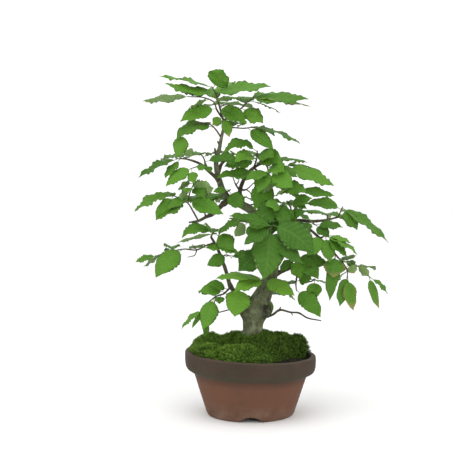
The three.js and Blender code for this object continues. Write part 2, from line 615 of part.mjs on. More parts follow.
function apart(body, others) {
  return others.reduce((left, other) => left.subtract(other), body);
}

function boxesMeet(a, b) {
  const p = a.boundingBox();
  const q = b.boundingBox();
  return [0, 1, 2].every((k) => p.min[k] <= q.max[k] && q.min[k] <= p.max[k]);
}

// ---------------------------------------------------------------- pot, soil and drainage

const FLOOR_TOP = FOOT_DEPTH + FLOOR_THICKNESS;
const BAND_FOOT = POT_HEIGHT - BAND_HEIGHT;
const BODY_TOP = BAND_FOOT - BAND_CHAMFER;
const BODY_TOP_RADIUS = RIM_RADIUS - BAND_STEP;
const LIP_RADIUS = RIM_RADIUS - LIP_WIDTH;
const SHOULDER = BODY_TOP - 4; // where the inner wall starts to open out to the lip
const INNER_TOP_RADIUS = BODY_TOP_RADIUS - BODY_WALL;
const INNER_FOOT_RADIUS = FOOT_RADIUS - BODY_WALL + 1;
const LIP_ROUNDING = 2.5;

function makePot() {
  const outline = [
    [FOOT_RADIUS - FOOT_RING, 0], [FOOT_RADIUS - 2, 0], [FOOT_RADIUS, 2.5],
    [BODY_TOP_RADIUS - 1, BODY_TOP - 2], [BODY_TOP_RADIUS + 2, BODY_TOP + 1],
    [RIM_RADIUS - 2, BAND_FOOT - 1.5], [RIM_RADIUS - 0.5, BAND_FOOT + 1.5],
    [RIM_RADIUS, POT_HEIGHT - LIP_ROUNDING], [RIM_RADIUS - LIP_ROUNDING, POT_HEIGHT],
    [LIP_RADIUS + 2, POT_HEIGHT], [LIP_RADIUS, POT_HEIGHT - 2],
    [LIP_RADIUS - 0.5, BAND_FOOT + 2], [INNER_TOP_RADIUS, SHOULDER],
    [INNER_FOOT_RADIUS, FLOOR_TOP], [DRAIN_RADIUS, FLOOR_TOP],
    [DRAIN_RADIUS, FOOT_DEPTH], [FOOT_RADIUS - FOOT_RING, FOOT_DEPTH],
    [FOOT_RADIUS - FOOT_RING, 0],
  ];
  let pot = leaning(turned(outline));
  const archRadius = (ARCH_CHORD ** 2 / 4 + ARCH_HEIGHT ** 2) / (2 * ARCH_HEIGHT);
  for (let i = 0; i < ARCH_COUNT; i += 1) {
    const arch = new THREE.CylinderGeometry(archRadius, archRadius, FOOT_RADIUS, 48);
    arch.translate(0, -FOOT_RADIUS, 0);
    const cut = solid(arch);
    const moved = cut.translate([0, 0, ARCH_HEIGHT - archRadius]);
    pot = pot.subtract(moved.rotate([0, 0, (i * 360) / ARCH_COUNT]));
  }
  return pot;
}

function makeDrainageMesh() {
  const middle = FLOOR_TOP + GAP + MESH_THICKNESS / 2;
  const first = -MESH_PITCH * (MESH_HOLES - 1) / 2;
  const places = Array.from({ length: MESH_HOLES }, (_, i) => first + i * MESH_PITCH);
  const plate = new THREE.BoxGeometry(MESH_SIZE, MESH_SIZE, MESH_THICKNESS).translate(0, 0, middle);
  const holes = places.flatMap((x) => places.map((y) => solid(
    new THREE.BoxGeometry(MESH_HOLE, MESH_HOLE, 2 * MESH_THICKNESS).translate(x, y, middle),
  )));
  return apart(solid(plate), holes);
}

const MESH_TOP = FLOOR_TOP + GAP + MESH_THICKNESS;

function makeWire(extra = 0) {
  const over = MESH_TOP + GAP + WIRE_RADIUS;
  const under = FOOT_DEPTH - GAP - WIRE_RADIUS;
  const leg = MESH_PITCH; // down through the mesh on each side of its middle hole
  const line = [
    [-WIRE_REACH, under], [-leg, under], [-leg, over], [leg, over], [leg, under],
    [WIRE_REACH, under],
  ];
  const rings = line.map(([x, z], i) => {
    const before = line[Math.max(i - 1, 0)];
    const after = line[Math.min(i + 1, line.length - 1)];
    const along = new THREE.Vector3(after[0] - before[0], 0, after[1] - before[1]).normalize();
    const turn = i > 0 && i + 1 < line.length ? Math.SQRT2 : 1;
    const inPlane = new THREE.Vector3(-along.z, 0, along.x).multiplyScalar(turn);
    return Array.from({ length: 8 }, (_, j) => {
      const angle = (2 * Math.PI * j) / 8;
      return new THREE.Vector3(x, 0, z)
        .addScaledVector(inPlane, (WIRE_RADIUS + extra) * Math.cos(angle))
        .addScaledVector(new THREE.Vector3(0, -1, 0), (WIRE_RADIUS + extra) * Math.sin(angle));
    });
  });
  return solid(loft(rings));
}

function makeSoil(removed) {
  const meshSeat = (MESH_SIZE / 2) * Math.SQRT2 + GAP;
  const outline = [
    [0, MESH_TOP + GAP], [meshSeat, MESH_TOP + GAP], [meshSeat, FLOOR_TOP + GAP],
    [INNER_FOOT_RADIUS - GAP, FLOOR_TOP + GAP], [INNER_TOP_RADIUS - GAP, SHOULDER],
    [LIP_RADIUS - 0.5 - GAP, BAND_FOOT + 2], [LIP_RADIUS - 0.4 - GAP, SOIL_LEVEL - 1],
    [LIP_RADIUS - 3, SOIL_LEVEL], [0, SOIL_LEVEL],
  ];
  return apart(leaning(turned(outline)), removed);
}

// ---------------------------------------------------------------- moss

const MOSS_SECTORS = 14;
const MOSS_RINGS = 4;
const MOSS_FULLNESS = 2.6; // 2 is a plain dome, more is fuller

// A cushion swells from the soil: its height falls off with the distance out.
function makeCushion([x, y, halfX, halfY, height, turn], extra = 0) {
  const foot = SOIL_LEVEL + GAP - extra;
  const heading = THREE.MathUtils.degToRad(turn);
  const rings = [];
  for (let i = MOSS_RINGS; i >= 0; i -= 1) {
    const out = Math.max(i / MOSS_RINGS, 0.02);
    const rise = height * MOSS_RISE * (1 - out ** MOSS_FULLNESS) + (i < MOSS_RINGS ? extra : 0);
    rings.push(Array.from({ length: MOSS_SECTORS }, (_, j) => {
      const angle = (2 * Math.PI * j) / MOSS_SECTORS;
      const wobble = 1 + 0.05 * Math.sin(3 * angle + x) + 0.04 * Math.sin(5 * angle + y);
      const u = (halfX + extra) * out * wobble * Math.cos(angle);
      const v = (halfY + extra) * out * wobble * Math.sin(angle);
      return new THREE.Vector3(
        x + u * Math.cos(heading) - v * Math.sin(heading),
        y + u * Math.sin(heading) + v * Math.cos(heading),
        foot + Math.max(rise, 0.5),
      );
    }));
  }
  rings.unshift(rings[0].map((p) => new THREE.Vector3(p.x, p.y, foot)));
  return leaning(solid(loft(rings)));
}

// The space inside the lip, where moss may lie.
function mossRoom() {
  return leaning(turned([
    [0, SOIL_LEVEL], [LIP_RADIUS - 0.5 - GAP, SOIL_LEVEL], [LIP_RADIUS - GAP, POT_HEIGHT - 2],
    [LIP_RADIUS + 2 - GAP, POT_HEIGHT + GAP], [RIM_RADIUS - 3, POT_HEIGHT + GAP],
    [RIM_RADIUS - 3, 2 * POT_HEIGHT], [0, 2 * POT_HEIGHT],
  ]));
}

// ---------------------------------------------------------------- wood

const TRUNK_SIDES = 10;
const ROOT_SIDES = 6;
const BRANCH_SIDES = 5;
const TWIG_SIDES = 4;

function makeTrunk(extra = 0) {
  let trunk = stick(TRUNK_LINE, TRUNK_SIDES, 1, extra);
  trunk = BURLS.reduce((wood, burl) => wood.add(ball(burl, extra)), trunk);
  if (extra === 0) {
    trunk = apart(trunk, BURL_HOLLOWS.map((hollow) => ball(hollow)));
  }
  return trunk.add(sticks(ROOTS, ROOT_SIDES, 1, extra, rooted))
    .add(sticks(STUBS, TWIG_SIDES, 1, extra));
}

// ---------------------------------------------------------------- leaves

// Shares of the blade's length, and the blade's breadth there as a share of the widest.
const BLADE = [[0, 0.06], [0.28, 0.97], [0.68, 0.68], [1, 0.03]];

// A stalk and a blade in one loft of three-cornered rings: the two edges and the midrib below.
function makeLeaf(base, tip, width, lean, arch, extra = 0) {
  const axis = tip.clone().sub(base);
  const length = axis.length();
  axis.normalize();
  const up = new THREE.Vector3(0, 0, 1);
  const tilt = THREE.MathUtils.degToRad(lean);
  const face = new THREE.Vector3(0, -Math.sin(tilt), Math.cos(tilt));
  face.addScaledVector(axis, -face.dot(axis)).normalize();
  const across = new THREE.Vector3().crossVectors(face, axis);
  const bow = up.clone().addScaledVector(axis, -up.dot(axis)).multiplyScalar(arch * length * 4);
  const stalk = Math.min(STALK_LENGTH, length / 4) / length;
  const ring = (share, halfWidth, halfThickness) => {
    const at = base.clone().addScaledVector(axis, share * length);
    at.addScaledVector(bow, share * (1 - share));
    return [[1, 0.5], [-1, 0.5], [0, -1]].map(([side, above]) => at.clone()
      .addScaledVector(across, side * (halfWidth + 2 * extra))
      .addScaledVector(face, above * (halfThickness + 2 * extra)));
  };
  const blade = BLADE.map(([share, breadth]) => ring(
    stalk + share * (1 - stalk),
    Math.max((breadth * width * LEAF_BREADTH) / 2, STALK_RADIUS * 0.7),
    LEAF_THICKNESS * (share < 1 ? 0.67 : 0.3),
  ));
  return solid(loft([ring(0, STALK_RADIUS, STALK_RADIUS), ...blade]));
}

function twigPoint(rows, place) {
  return new THREE.CatmullRomCurve3(rows.map(grown), false, "centripetal").getPoint(place);
}

// A leaf turns a little on its stalk until it hangs clear of everything that already grew there.
const TURNS = [0, 8, -8, 16, -16, 26, -26, 38, -38, 52, -52];
const SWAYS = [0, -6, 6, -12, 12, -20, 20];

const LOOK_ROUND = 25; // how far beyond a leaf its neighbours are looked for

function hangClear(rows, [place, x, y, z, width, lean, arch], taken) {
  const base = twigPoint(rows, place);
  const surroundings = makeLeaf(base, grown([x, y, z]), width, lean, arch, LOOK_ROUND);
  const near = taken.filter((other) => boxesMeet(surroundings, other));
  for (const sway of SWAYS) {
    for (const turn of TURNS) {
      const tip = grown([x, y + sway, z]);
      const room = makeLeaf(base, tip, width, lean + turn, arch, GAP);
      if (near.every((other) => !boxesMeet(room, other) || room.intersect(other).isEmpty())) {
        return makeLeaf(base, tip, width, lean + turn, arch);
      }
    }
  }
  throw new Error(`no room for the leaf at ${[x, y, z]}`);
}

// ---------------------------------------------------------------- assembly

const group = new THREE.Group();
const keep = (name, body, material) => group.add(mesh(name, body, material));

const trunk = makeTrunk();
const trunkRoom = makeTrunk(GAP);
keep("pot", makePot(), FIRED_CLAY);
keep("drainage_mesh", makeDrainageMesh(), BLACK_PLASTIC);
keep("mesh_wire", makeWire(), ALUMINIUM);
keep("soil", makeSoil([makeWire(GAP), trunkRoom]), DARK_SOIL);
keep("trunk", trunk, GREY_BARK);

const room = mossRoom();
const mossTaken = [trunkRoom];
for (const [name, shape] of Object.entries(MOSS_CUSHIONS)) {
  keep(name, largestPiece(apart(makeCushion(shape).intersect(room), mossTaken)), GREEN_MOSS);
  mossTaken.push(makeCushion(shape, GAP));
}

// Wood that later wood grows from, each with its air gap
const woodRooms = [trunkRoom];
const wood = [trunk];

function growWood(lines, sides, steps) {
  const body = sticks(lines, sides, steps);
  const clear = apart(body, woodRooms.filter((other) => boxesMeet(body, other)));
  woodRooms.push(sticks(lines, sides, steps, GAP));
  return largestPiece(clear);
}

for (const [name, lines] of Object.entries({ ...BRANCHES, ...DEAD_TWIGS })) {
  const piece = growWood(lines, BRANCH_SIDES, 1);
  wood.push(piece);
  keep(name, piece, GREY_BARK);
}

const twigs = {};
for (const [name, shoots] of Object.entries(SPRAYS)) {
  twigs[name] = growWood(shoots.map((shoot) => shoot.twig), TWIG_SIDES, 1);
}

// Each spray is its twigs with their leaves; leaves keep clear of all wood and other sprays.
const grownLeaves = [];
for (const [name, shoots] of Object.entries(SPRAYS)) {
  const strangers = Object.keys(twigs).filter((other) => other !== name).map((other) => twigs[other]);
  const taken = [...wood, ...strangers, ...grownLeaves];
  const blades = shoots.flatMap(({ twig, leaves }) => leaves.map((leaf) => hangClear(twig, leaf, taken)));
  const body = blades.reduce((a, b) => a.add(b), twigs[name]);
  grownLeaves.push(...blades);
  keep(name, largestPiece(body), GREEN_LEAF);
}

// The origin lies under the middle of the whole object.
const bounds = new THREE.Box3().setFromObject(group);
const middle = bounds.getCenter(new THREE.Vector3());
for (const piece of group.children) {
  piece.geometry.translate(-middle.x, -middle.y, 0);
}

export default group;
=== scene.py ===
"""A bonsai tree in a round unglazed pot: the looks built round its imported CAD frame.

Sizes in the tables are millimetres about the pot's own axis, with the tree's front towards -Y.
They are moved into the frame by the pot's place and scaled to metres when a shape is worked out.
"""

import logging
import math
from dataclasses import dataclass, field
from enum import Enum
from typing import Any, NamedTuple, Sequence

import bpy
import numpy as np
from mathutils import Matrix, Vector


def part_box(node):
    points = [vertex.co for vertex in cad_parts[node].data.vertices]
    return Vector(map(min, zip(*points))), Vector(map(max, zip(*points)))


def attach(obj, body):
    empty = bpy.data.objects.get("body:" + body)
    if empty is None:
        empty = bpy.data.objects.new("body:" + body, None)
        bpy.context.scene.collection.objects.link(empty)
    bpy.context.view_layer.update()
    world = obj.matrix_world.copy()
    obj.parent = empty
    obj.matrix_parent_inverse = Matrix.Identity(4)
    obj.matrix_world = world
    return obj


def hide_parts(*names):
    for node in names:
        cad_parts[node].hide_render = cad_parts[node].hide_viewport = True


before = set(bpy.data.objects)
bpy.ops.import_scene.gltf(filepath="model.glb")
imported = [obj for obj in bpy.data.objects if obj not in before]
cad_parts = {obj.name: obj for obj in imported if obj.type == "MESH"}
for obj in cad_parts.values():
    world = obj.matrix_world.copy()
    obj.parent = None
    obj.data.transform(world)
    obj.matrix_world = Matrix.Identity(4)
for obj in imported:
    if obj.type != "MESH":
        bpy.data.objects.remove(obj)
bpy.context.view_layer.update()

log = logging.getLogger("bonsai")

Array = np.ndarray
Row = tuple[float, ...]
Colour = tuple[float, float, float]

MM = 0.001
SEED = 20

# ---------------------------------------------------------------- sizes shared by the pieces

POT_HEIGHT = 85.0
RIM_RADIUS = 90.0
BAND_HEIGHT = 21.0
BAND_CHAMFER = 8.0
BAND_STEP = 12.0
LIP_WIDTH = 7.5
BODY_WALL = 6.5
FOOT_RADIUS = 60.5
FOOT_RING = 10.0
FOOT_DEPTH = 8.0
FLOOR_THICKNESS = 7.0
DRAIN_RADIUS = 12.0
ARCH_CHORD = 30.0
ARCH_HEIGHT = 6.6
ARCH_ANGLES = (-90.0, 30.0, 150.0)
RIM_LEAN = 0.041
SOIL_LEVEL = 74.0
LIP_RADIUS = RIM_RADIUS - LIP_WIDTH
BAND_FOOT = POT_HEIGHT - BAND_HEIGHT
BODY_TOP = BAND_FOOT - BAND_CHAMFER
BODY_TOP_RADIUS = RIM_RADIUS - BAND_STEP
STALK_LENGTH = 6.0
STALK_RADIUS = 0.5
SIDE_VEINS = 8.0
VEIN_SWEEP = 0.17


class Shoot(NamedTuple):
    """A leafy twig: rows of (x, y, z, radius), and leaves as
    (place along the twig, tip x, tip y, tip z, width, lean, arch)."""

    twig: list[Row]
    leaves: list[Row]


# ---------------------------------------------------------------- growth tables

TRUNK_LINE = [
    (2, 0, 62, 20), (2, 0, 84, 17), (2, 0, 100, 15), (3, 0, 113, 13.6), (4, -1, 127, 13.4),
    (7, -2, 141, 15), (13, -3, 157, 13.8), (20, -2, 171, 11.4), (27, 0, 188, 9.7), (30, 2, 204, 9),
    (26, 4, 223, 8.1), (19, 5, 241, 7.2), (13, 4, 260, 6.5), (1, 2, 280, 5.8), (-14, 0, 289, 5.3),
    (-30, -2, 297, 5), (-38, -2, 307, 4.6), (-42, 0, 319, 4.2), (-46, 2, 334, 3.7), (-47, 2, 348, 3.2),
    (-43, 1, 363, 2.6), (-40, 0, 379, 2.2), (-37, 0, 394, 1.9), (-38, 0, 407, 1.6),
]
BURLS = [(-8, -4, 141, 9.5), (21, -2, 144, 10)]
BURL_HOLLOWS = [(-13, -11, 142, 5.5), (23, -10, 146, 5.5)]
ROOTS = [
    [(2, 0, 78, 11), (-20, -12, 72, 7), (-40, -22, 60, 3.5), (-50, -28, 46, 1.6)],
    [(2, 0, 78, 11), (24, -12, 72, 7), (42, -20, 62, 3.6), (52, -26, 50, 1.6)],
    [(2, 0, 78, 11), (14, 24, 72, 7), (24, 42, 60, 3.4), (28, 50, 46, 1.6)],
    [(2, 0, 78, 11), (-16, 20, 71, 6.5), (-32, 36, 58, 3.2), (-38, 44, 44, 1.6)],
    [(2, 0, 74, 12), (4, -6, 58, 7), (8, -14, 42, 3.5), (10, -20, 30, 1.6)],
]
STUBS = [
    [(-47, 2, 352, 1.6), (-49, -1, 365, 1.3)],
    [(-42, 1, 367, 1.4), (-45, -1, 375, 1.1)],
    [(-2, -3, 148, 1.8), (-16, -8, 147, 1), (-30, -11, 145, 0.9), (-46, -13, 141, 0.8)],
]
BRANCHES = {
    "branch_low_left": [
        [
            (4, -3, 156, 5.5), (-14, -9, 163, 3.6), (-27, -13, 177, 3), (-33, -15, 197, 2.5),
            (-40, -16, 217, 2.2), (-47, -16, 233, 1.9), (-54, -15, 245, 1.6),
        ],
    ],
    "branch_low_right": [
        [
            (29, 1, 190, 5), (43, 7, 196, 3), (55, 8, 202, 2.6), (57, 4, 214, 2.1), (60, -4, 226, 1.8),
            (62, -12, 238, 1.4),
        ],
    ],
    "branch_mid_right": [
        [
            (19, 4, 240, 5), (31, 0, 253, 3.2), (45, -6, 262, 2.8), (62, -9, 267, 2.4),
            (84, -9, 266, 2), (104, -8, 268, 1.6), (120, -7, 272, 1.2),
        ],
        [(60, -9, 266, 2.3), (79, -18, 256, 2), (97, -25, 240, 1.8), (111, -28, 226, 1.4)],
    ],
    "branch_mid_left": [
        [
            (-28, -2, 296, 4.4), (-40, -9, 287, 3.2), (-49, -13, 278, 2.6), (-61, -15, 272, 2.2),
            (-71, -16, 267, 1.9), (-84, -17, 265, 1),
        ],
        [(-61, -15, 272, 1.3), (-63, -17, 281, 0.8)],
    ],
    "branch_upper_left": [
        [
            (-43, 0, 321, 4), (-49, -5, 327, 2.6), (-57, -9, 334, 2.2), (-67, -12, 343, 1.9),
            (-78, -13, 348, 1.6), (-89, -14, 351, 1.2),
        ],
        [(-62, -10, 339, 1.2), (-63, -11, 350, 1), (-68, -12, 358, 0.8)],
    ],
    "branch_upper_right": [
        [
            (-13, 0, 288, 4.6), (-15, 5, 301, 3.2), (-13, 8, 313, 2.8), (-6, 9, 327, 2.4),
            (5, 8, 339, 2.1), (19, 5, 345, 1.8), (34, 1, 343, 1.5), (45, -3, 339, 1.2),
        ],
        [(-14, 6, 307, 1.6), (-20, 0, 315, 1), (-25, -6, 328, 0.7)],
        [(-14, 6, 308, 1.5), (-6, 0, 309, 1), (4, -5, 318, 0.7)],
        [(-6, 0, 309, 0.9), (0, -3, 304, 0.8), (1, -5, 298, 0.6)],
        [(-20, 0, 315, 0.9), (-16, -4, 322, 0.7), (-21, -7, 333, 0.6)],
    ],
    "dead_twig_right": [
        [
            (18, 0, 133, 2.4), (30, -3, 137, 1.6), (40, -5, 144, 1.5), (55, -6, 141, 1.3),
            (66, -5, 140, 1.2), (78, -4, 133, 1.1), (97, -3, 129, 0.8),
        ],
        [(39, -5, 143, 1.2), (41, -7, 148, 0.9)],
        [(55, -6, 141, 0.9), (58, -8, 137, 0.6)],
    ],
}
SPRAYS = {
    "spray_apex_left": [
        Shoot([
            (-38, 0, 405, 1.5), (-46, -8, 417, 1.2), (-50, -14, 427, 1), (-64, -18, 433, 0.9),
            (-82, -20, 434, 0.7),
        ], [
            (1, -145, -34, 427, 27, -16, 0.03), (0.62, -84, -34, 417, 20, -30, 0.05),
            (0.28, -95, -30, 400, 22, 62, 0.08), (0.5, -8, -46, 429, 26, -12, 0.1),
            (0.78, -92, 12, 441, 18, 14, 0.05),
        ]),
    ],
    "spray_apex_top": [
        Shoot([(-38, 0, 405, 1.5), (-43, 2, 424, 1.2), (-47, 0, 438, 1), (-52, -4, 447, 0.8)], [
            (1, -125, -20, 460, 27, 9, 0.04), (0.85, -115, -38, 450, 25, 34, -0.03),
            (0.95, -37, -20, 470, 30, 80, 0.02), (0.78, 27, -24, 446, 30, 34, 0.02),
            (0.6, -20, 44, 456, 24, 20, 0.12), (0.45, -70, 50, 444, 24, 10, 0.1),
            (0.28, -6, -34, 397, 23, 66, 0.04),
        ]),
        Shoot([(-42, 2, 422, 1.2), (-37, 22, 424, 1), (-32, 42, 427, 0.8)], [
            (1, -24, 79, 424, 24, 6, 0.1), (0.7, 12, 65, 414, 25, 19, 0.1),
            (0.75, -76, 64, 414, 22, 16, 0.1),
        ]),
    ],
    "spray_apex_right": [
        Shoot([
            (-37, 0, 403, 1.5), (-24, -6, 410, 1.2), (-13, -10, 419, 1), (-4, -14, 428, 0.8),
            (2, -16, 432, 0.7),
        ], [
            (1, 80, -26, 420, 27, -9, 0.05), (0.96, 76, -44, 429, 26, 36, 0.03),
            (0.8, 40, -30, 411, 20, 1, 0.06), (0.5, 16, -30, 398, 24, 62, 0.06),
            (0.62, -6, 40, 436, 22, 14, 0.08), (0.9, 48, 26, 436, 25, 9, 0.08),
        ]),
        Shoot([(-25, -6, 410, 1), (-31, -12, 411, 0.9), (-37, -15, 408, 0.7)], [
            (0.9, -29, -20, 380, 15, 82, 0), (1, -52, -22, 396, 13, 80, 0.04),
        ]),
    ],
    "spray_top_left": [
        Shoot([
            (-41, 0, 381, 1.2), (-48, -6, 391, 1), (-55, -10, 397, 0.9), (-72, -16, 398, 0.8),
            (-90, -20, 386, 0.7),
        ], [
            (0.3, -100, -28, 375, 24, 34, 0.22), (1, -99, -30, 353, 20, 80, 0.02),
            (0.6, -70, 30, 394, 20, 12, 0.1),
        ]),
    ],
    "spray_top_right": [
        Shoot([(-38, 0, 392, 1.2), (-24, -6, 393, 1), (-10, -10, 392, 0.9), (6, -13, 394, 0.7)], [
            (0.78, 30, -26, 363, 19, 74, 0.03), (1, 66, -30, 370, 27, 3, 0.07),
            (0.45, -6, -34, 398, 13, 39, 0.05), (0.85, 34, 34, 381, 24, 12, 0.06),
            (0.3, -10, 44, 396, 22, 11, 0.1),
        ]),
    ],
    "spray_upper_left_end": [
        Shoot([(-88, -14, 350.6, 1.1), (-93, -15, 351, 0.9), (-98, -16, 351, 0.7)], [
            (1, -151, -30, 325, 25, 6, 0.04), (0.7, -115, -34, 325, 16, 3, 0.05),
            (0.2, -79, -28, 365, 13, -60, 0), (0.4, -120, 32, 346, 23, 14, 0.1),
        ]),
        Shoot([(-93, -15, 351, 0.9), (-89, 4, 352, 0.8), (-84, 24, 353, 0.7)], [
            (1, -104, 64, 350, 22, 10, 0.1), (0.9, -54, 61, 354, 22, 12, 0.1),
            (0.6, -126, 46, 346, 23, 13, 0.1),
        ]),
    ],
    "spray_upper_left_front": [
        Shoot([(-57, -9, 334, 1.3), (-60, -18, 342, 1), (-62, -24, 347, 0.8)], [
            (1, -9, -38, 341, 23, 35, 0.1), (0.6, -54, -36, 333, 12, 2, 0),
            (0.8, -70, -42, 335, 11, 55, 0),
        ]),
        Shoot([(-60, -18, 342, 1), (-70, -21, 341, 0.9), (-80, -22, 338, 0.7)], [
            (0.9, -114, -36, 314, 19, 52, 0.08), (1, -76, -34, 318, 15, 76, 0),
        ]),
    ],
    "spray_upper_right_arch": [
        Shoot([(4, 8, 338, 1.4), (8, 0, 350, 1.1), (9, -6, 360, 0.8)], [
            (1, -37, -24, 357, 21, 41, 0.24), (0.7, 42, -30, 346, 28, 62, 0.06),
            (0.4, -36, -20, 340, 21, 45, 0.06), (0.85, 30, -40, 353, 22, 66, 0.06),
            (0.55, -22, -44, 346, 22, 48, 0.1),
        ]),
    ],
    "spray_upper_right_end": [
        Shoot([(44, -3, 339, 0.9), (47, -6, 340, 0.8), (50, -10, 340, 0.7)], [
            (1, 111, -34, 314, 25, 42, 0.02), (0.8, 66, 8, 348, 12, 1, 0.02),
            (0.7, 100, 38, 330, 27, 14, 0.1),
        ]),
    ],
    "spray_upper_right_front": [
        Shoot([(19, 5, 345, 1.4), (22, -12, 340, 1.1), (24, -26, 333, 0.9)], [
            (1, 55, -48, 313, 26, 70, 0.06), (0.9, -8, -54, 322, 20, 40, 0.04),
            (0.6, 44, -44, 333, 24, 60, 0.1), (0.75, 8, -52, 306, 22, 76, 0.04),
            (0.4, 62, -36, 326, 20, 50, 0.08),
        ]),
    ],
    "spray_upper_right_low": [
        Shoot([
            (5, 8, 338, 1.5), (16, 0, 328, 1.2), (28, -8, 320, 1), (44, -14, 313, 0.9),
            (60, -18, 309, 0.8), (78, -20, 307, 0.7),
        ], [
            (0.85, 112, -28, 301, 17, 45, 0.04), (0.5, 74, -38, 306, 24, 52, 0.04),
            (0.8, 61, -30, 297, 12, -40, 0), (0.5, 14, -30, 306, 14, -50, 0.04),
            (0.35, 4, -30, 283, 30, 80, 0), (0.25, -46, -34, 325, 27, 20, 0.06),
            (0.7, 72, 24, 312, 20, 14, 0.1), (0.3, 33, -44, 317, 20, 30, 0.05),
            (0.75, 30, -36, 300, 18, -40, 0.05),
        ]),
    ],
    "spray_upper_right_back": [
        Shoot([(33, 1, 343, 1.3), (36, 20, 347, 1), (38, 38, 349, 0.8)], [
            (1, 44, 79, 346, 24, 8, 0.1), (0.75, 82, 61, 344, 22, 12, 0.1),
            (0.8, -6, 64, 350, 22, 14, 0.1), (0.4, 4, 34, 356, 20, 20, 0.1),
            (0.95, 10, 74, 340, 22, 12, 0.1),
        ]),
    ],
    "spray_mid_left_outer": [
        Shoot([
            (-71, -16, 267, 1.3), (-78, -18, 280, 1.1), (-85, -20, 291, 1), (-97, -22, 298, 0.9),
            (-107, -23, 303, 0.7),
        ], [
            (1, -156, -36, 280, 26, 36, 0.08), (0.92, -127, -40, 269, 17, 66, 0.02),
            (0.55, -126, -46, 270, 22, 17, 0.04), (0.8, -140, 14, 296, 23, 14, 0.1),
        ]),
        Shoot([(-85, -20, 291, 1), (-83, -19, 303, 0.9), (-77, -18, 318, 0.7)], [
            (1, -98, -30, 309, 17, -45, 0.12), (0.6, -96, -34, 298, 16, -60, 0.04),
            (0.7, -50, -36, 312, 26, -60, 0.04), (0.12, -37, -42, 277, 23, 66, 0.05),
            (0.9, -62, -40, 298, 18, 50, 0.06), (0.4, -112, -40, 284, 16, 50, 0.06),
            (0.8, -84, -46, 306, 20, -50, 0.06),
        ]),
    ],
    "spray_mid_left_inner": [
        Shoot([(-34, -2, 303, 1.6), (-31, -12, 307, 1.1), (-28, -18, 309, 0.9)], [
            (1, -51, -26, 306, 11, 46, 0.05), (0.7, -12, -28, 284, 23, 80, 0),
        ]),
    ],
    "spray_mid_left_back": [
        Shoot([(-50, -13, 277.5, 1.4), (-58, 6, 284, 1.1), (-64, 26, 290, 0.9), (-70, 44, 294, 0.8)], [
            (1, -90, 78, 292, 24, 8, 0.1), (0.8, -112, 42, 290, 22, 14, 0.1),
            (0.75, -34, 61, 300, 22, 16, 0.1), (0.5, -92, 10, 296, 18, 20, 0.1),
            (0.95, -44, 74, 298, 22, 10, 0.1),
        ]),
    ],
    "spray_low_left_top": [
        Shoot([(-54, -15, 244.6, 1.4), (-52, -18, 249, 1), (-48, -20, 250, 0.8)], [
            (0.6, -93, -32, 244, 19, 48, 0.26), (1, -23, -34, 228, 24, 80, 0.04),
            (0.9, -60, 26, 252, 20, 6, 0.08), (0.8, -60, -46, 262, 18, 50, 0.1),
            (0.9, -100, -36, 238, 14, -30, 0.03),
        ]),
    ],
    "spray_low_left_outer": [
        Shoot([
            (-49, -16, 237.5, 1.4), (-60, -19, 234, 1.1), (-73, -21, 228, 1), (-90, -20, 229, 0.9),
            (-110, -16, 225, 0.8), (-126, -14, 220, 0.7),
        ], [
            (0.62, -127, -46, 193, 26, 66, 0.08), (1, -156, -24, 211, 14, 23, 0.04),
            (0.93, -145, -30, 205, 14, -35, 0.04), (0.3, -15, -36, 221, 23, 24, 0.08),
            (0.75, -112, 36, 224, 22, 14, 0.1), (0.45, -70, 30, 226, 22, -9, 0.1),
            (0.9, -96, 26, 214, 20, 16, 0.1),
        ]),
        Shoot([(-73, -21, 228, 0.8), (-76, -24, 221, 0.7), (-83, -25, 219, 0.6)], []),
        Shoot([(-73, -21, 228, 0.7), (-78, -23, 234, 0.6)], []),
    ],
    "spray_low_left_dark": [
        Shoot([(-40, -16, 217, 1.3), (-34, -20, 221, 1), (-29, -22, 220, 0.8)], [
            (0.9, -59, -34, 208, 17, 80, 0.02), (1, 12, -34, 214, 18, 41, 0.08),
        ]),
    ],
    "spray_low_left_hanging": [
        Shoot([
            (-27, -13, 177, 1.6), (-37, -19, 168, 1.2), (-47, -22, 165, 1), (-58, -24, 156, 0.9),
            (-64, -25, 148, 0.7),
        ], [
            (0.55, -65, -38, 122, 23, 80, 0.02), (1, -94, -32, 121, 17, 6, 0.04),
            (0.95, -80, -22, 121, 7, 60, 0), (0.2, -70, -28, 172, 17, 60, 0.12),
            (0.5, -72, 26, 164, 23, 9, 0.1), (0.1, -58, -34, 184, 16, 60, 0.05),
            (0.35, -42, -34, 156, 14, 70, 0.04),
        ]),
        Shoot([(-47, -22, 165, 0.9), (-52, -20, 148, 0.7), (-58, -18, 133, 0.6)], [
            (1, -62, -18, 107, 8, 70, 0),
        ]),
    ],
    "spray_front_bright": [
        Shoot([(27, 0, 186, 2), (22, -16, 187, 1.2), (17, -26, 189, 0.9)], [
            (1, -47, -50, 192, 27, 18, 0.08), (0.9, -23, -60, 174, 24, 53, 0.08),
            (0.8, 57, -58, 170, 23, 36, 0.06), (0.5, 60, -30, 159, 21, -36, 0.06),
        ]),
        Shoot([(20, -20, 188, 1), (6, -28, 186, 0.9), (-14, -29, 179, 0.8)], [
            (1, -22, -42, 140, 33, 84, 0),
        ]),
    ],
    "spray_trunk_right": [
        Shoot([(22, 0, 160, 1.8), (26, 12, 162, 1.1), (27, 18, 160, 0.8)], [
            (1, 25, 14, 130, 12, 60, 0), (0.7, 46, 44, 158, 16, 20, 0.1),
        ]),
    ],
    "spray_front_large": [
        Shoot([
            (26, 3, 224, 5.5), (22, -16, 236, 3), (21, -36, 247, 2.4), (24, -50, 255, 1.6),
            (28, -62, 264, 0.9),
        ], [
            (0.85, 15, -78, 194, 42, 86, 0.02), (1, 81, -76, 228, 36, 68, 0.12),
            (0.95, -30, -72, 276, 25, 35, 0.06), (0.9, -10, -84, 240, 21, 43, 0.04),
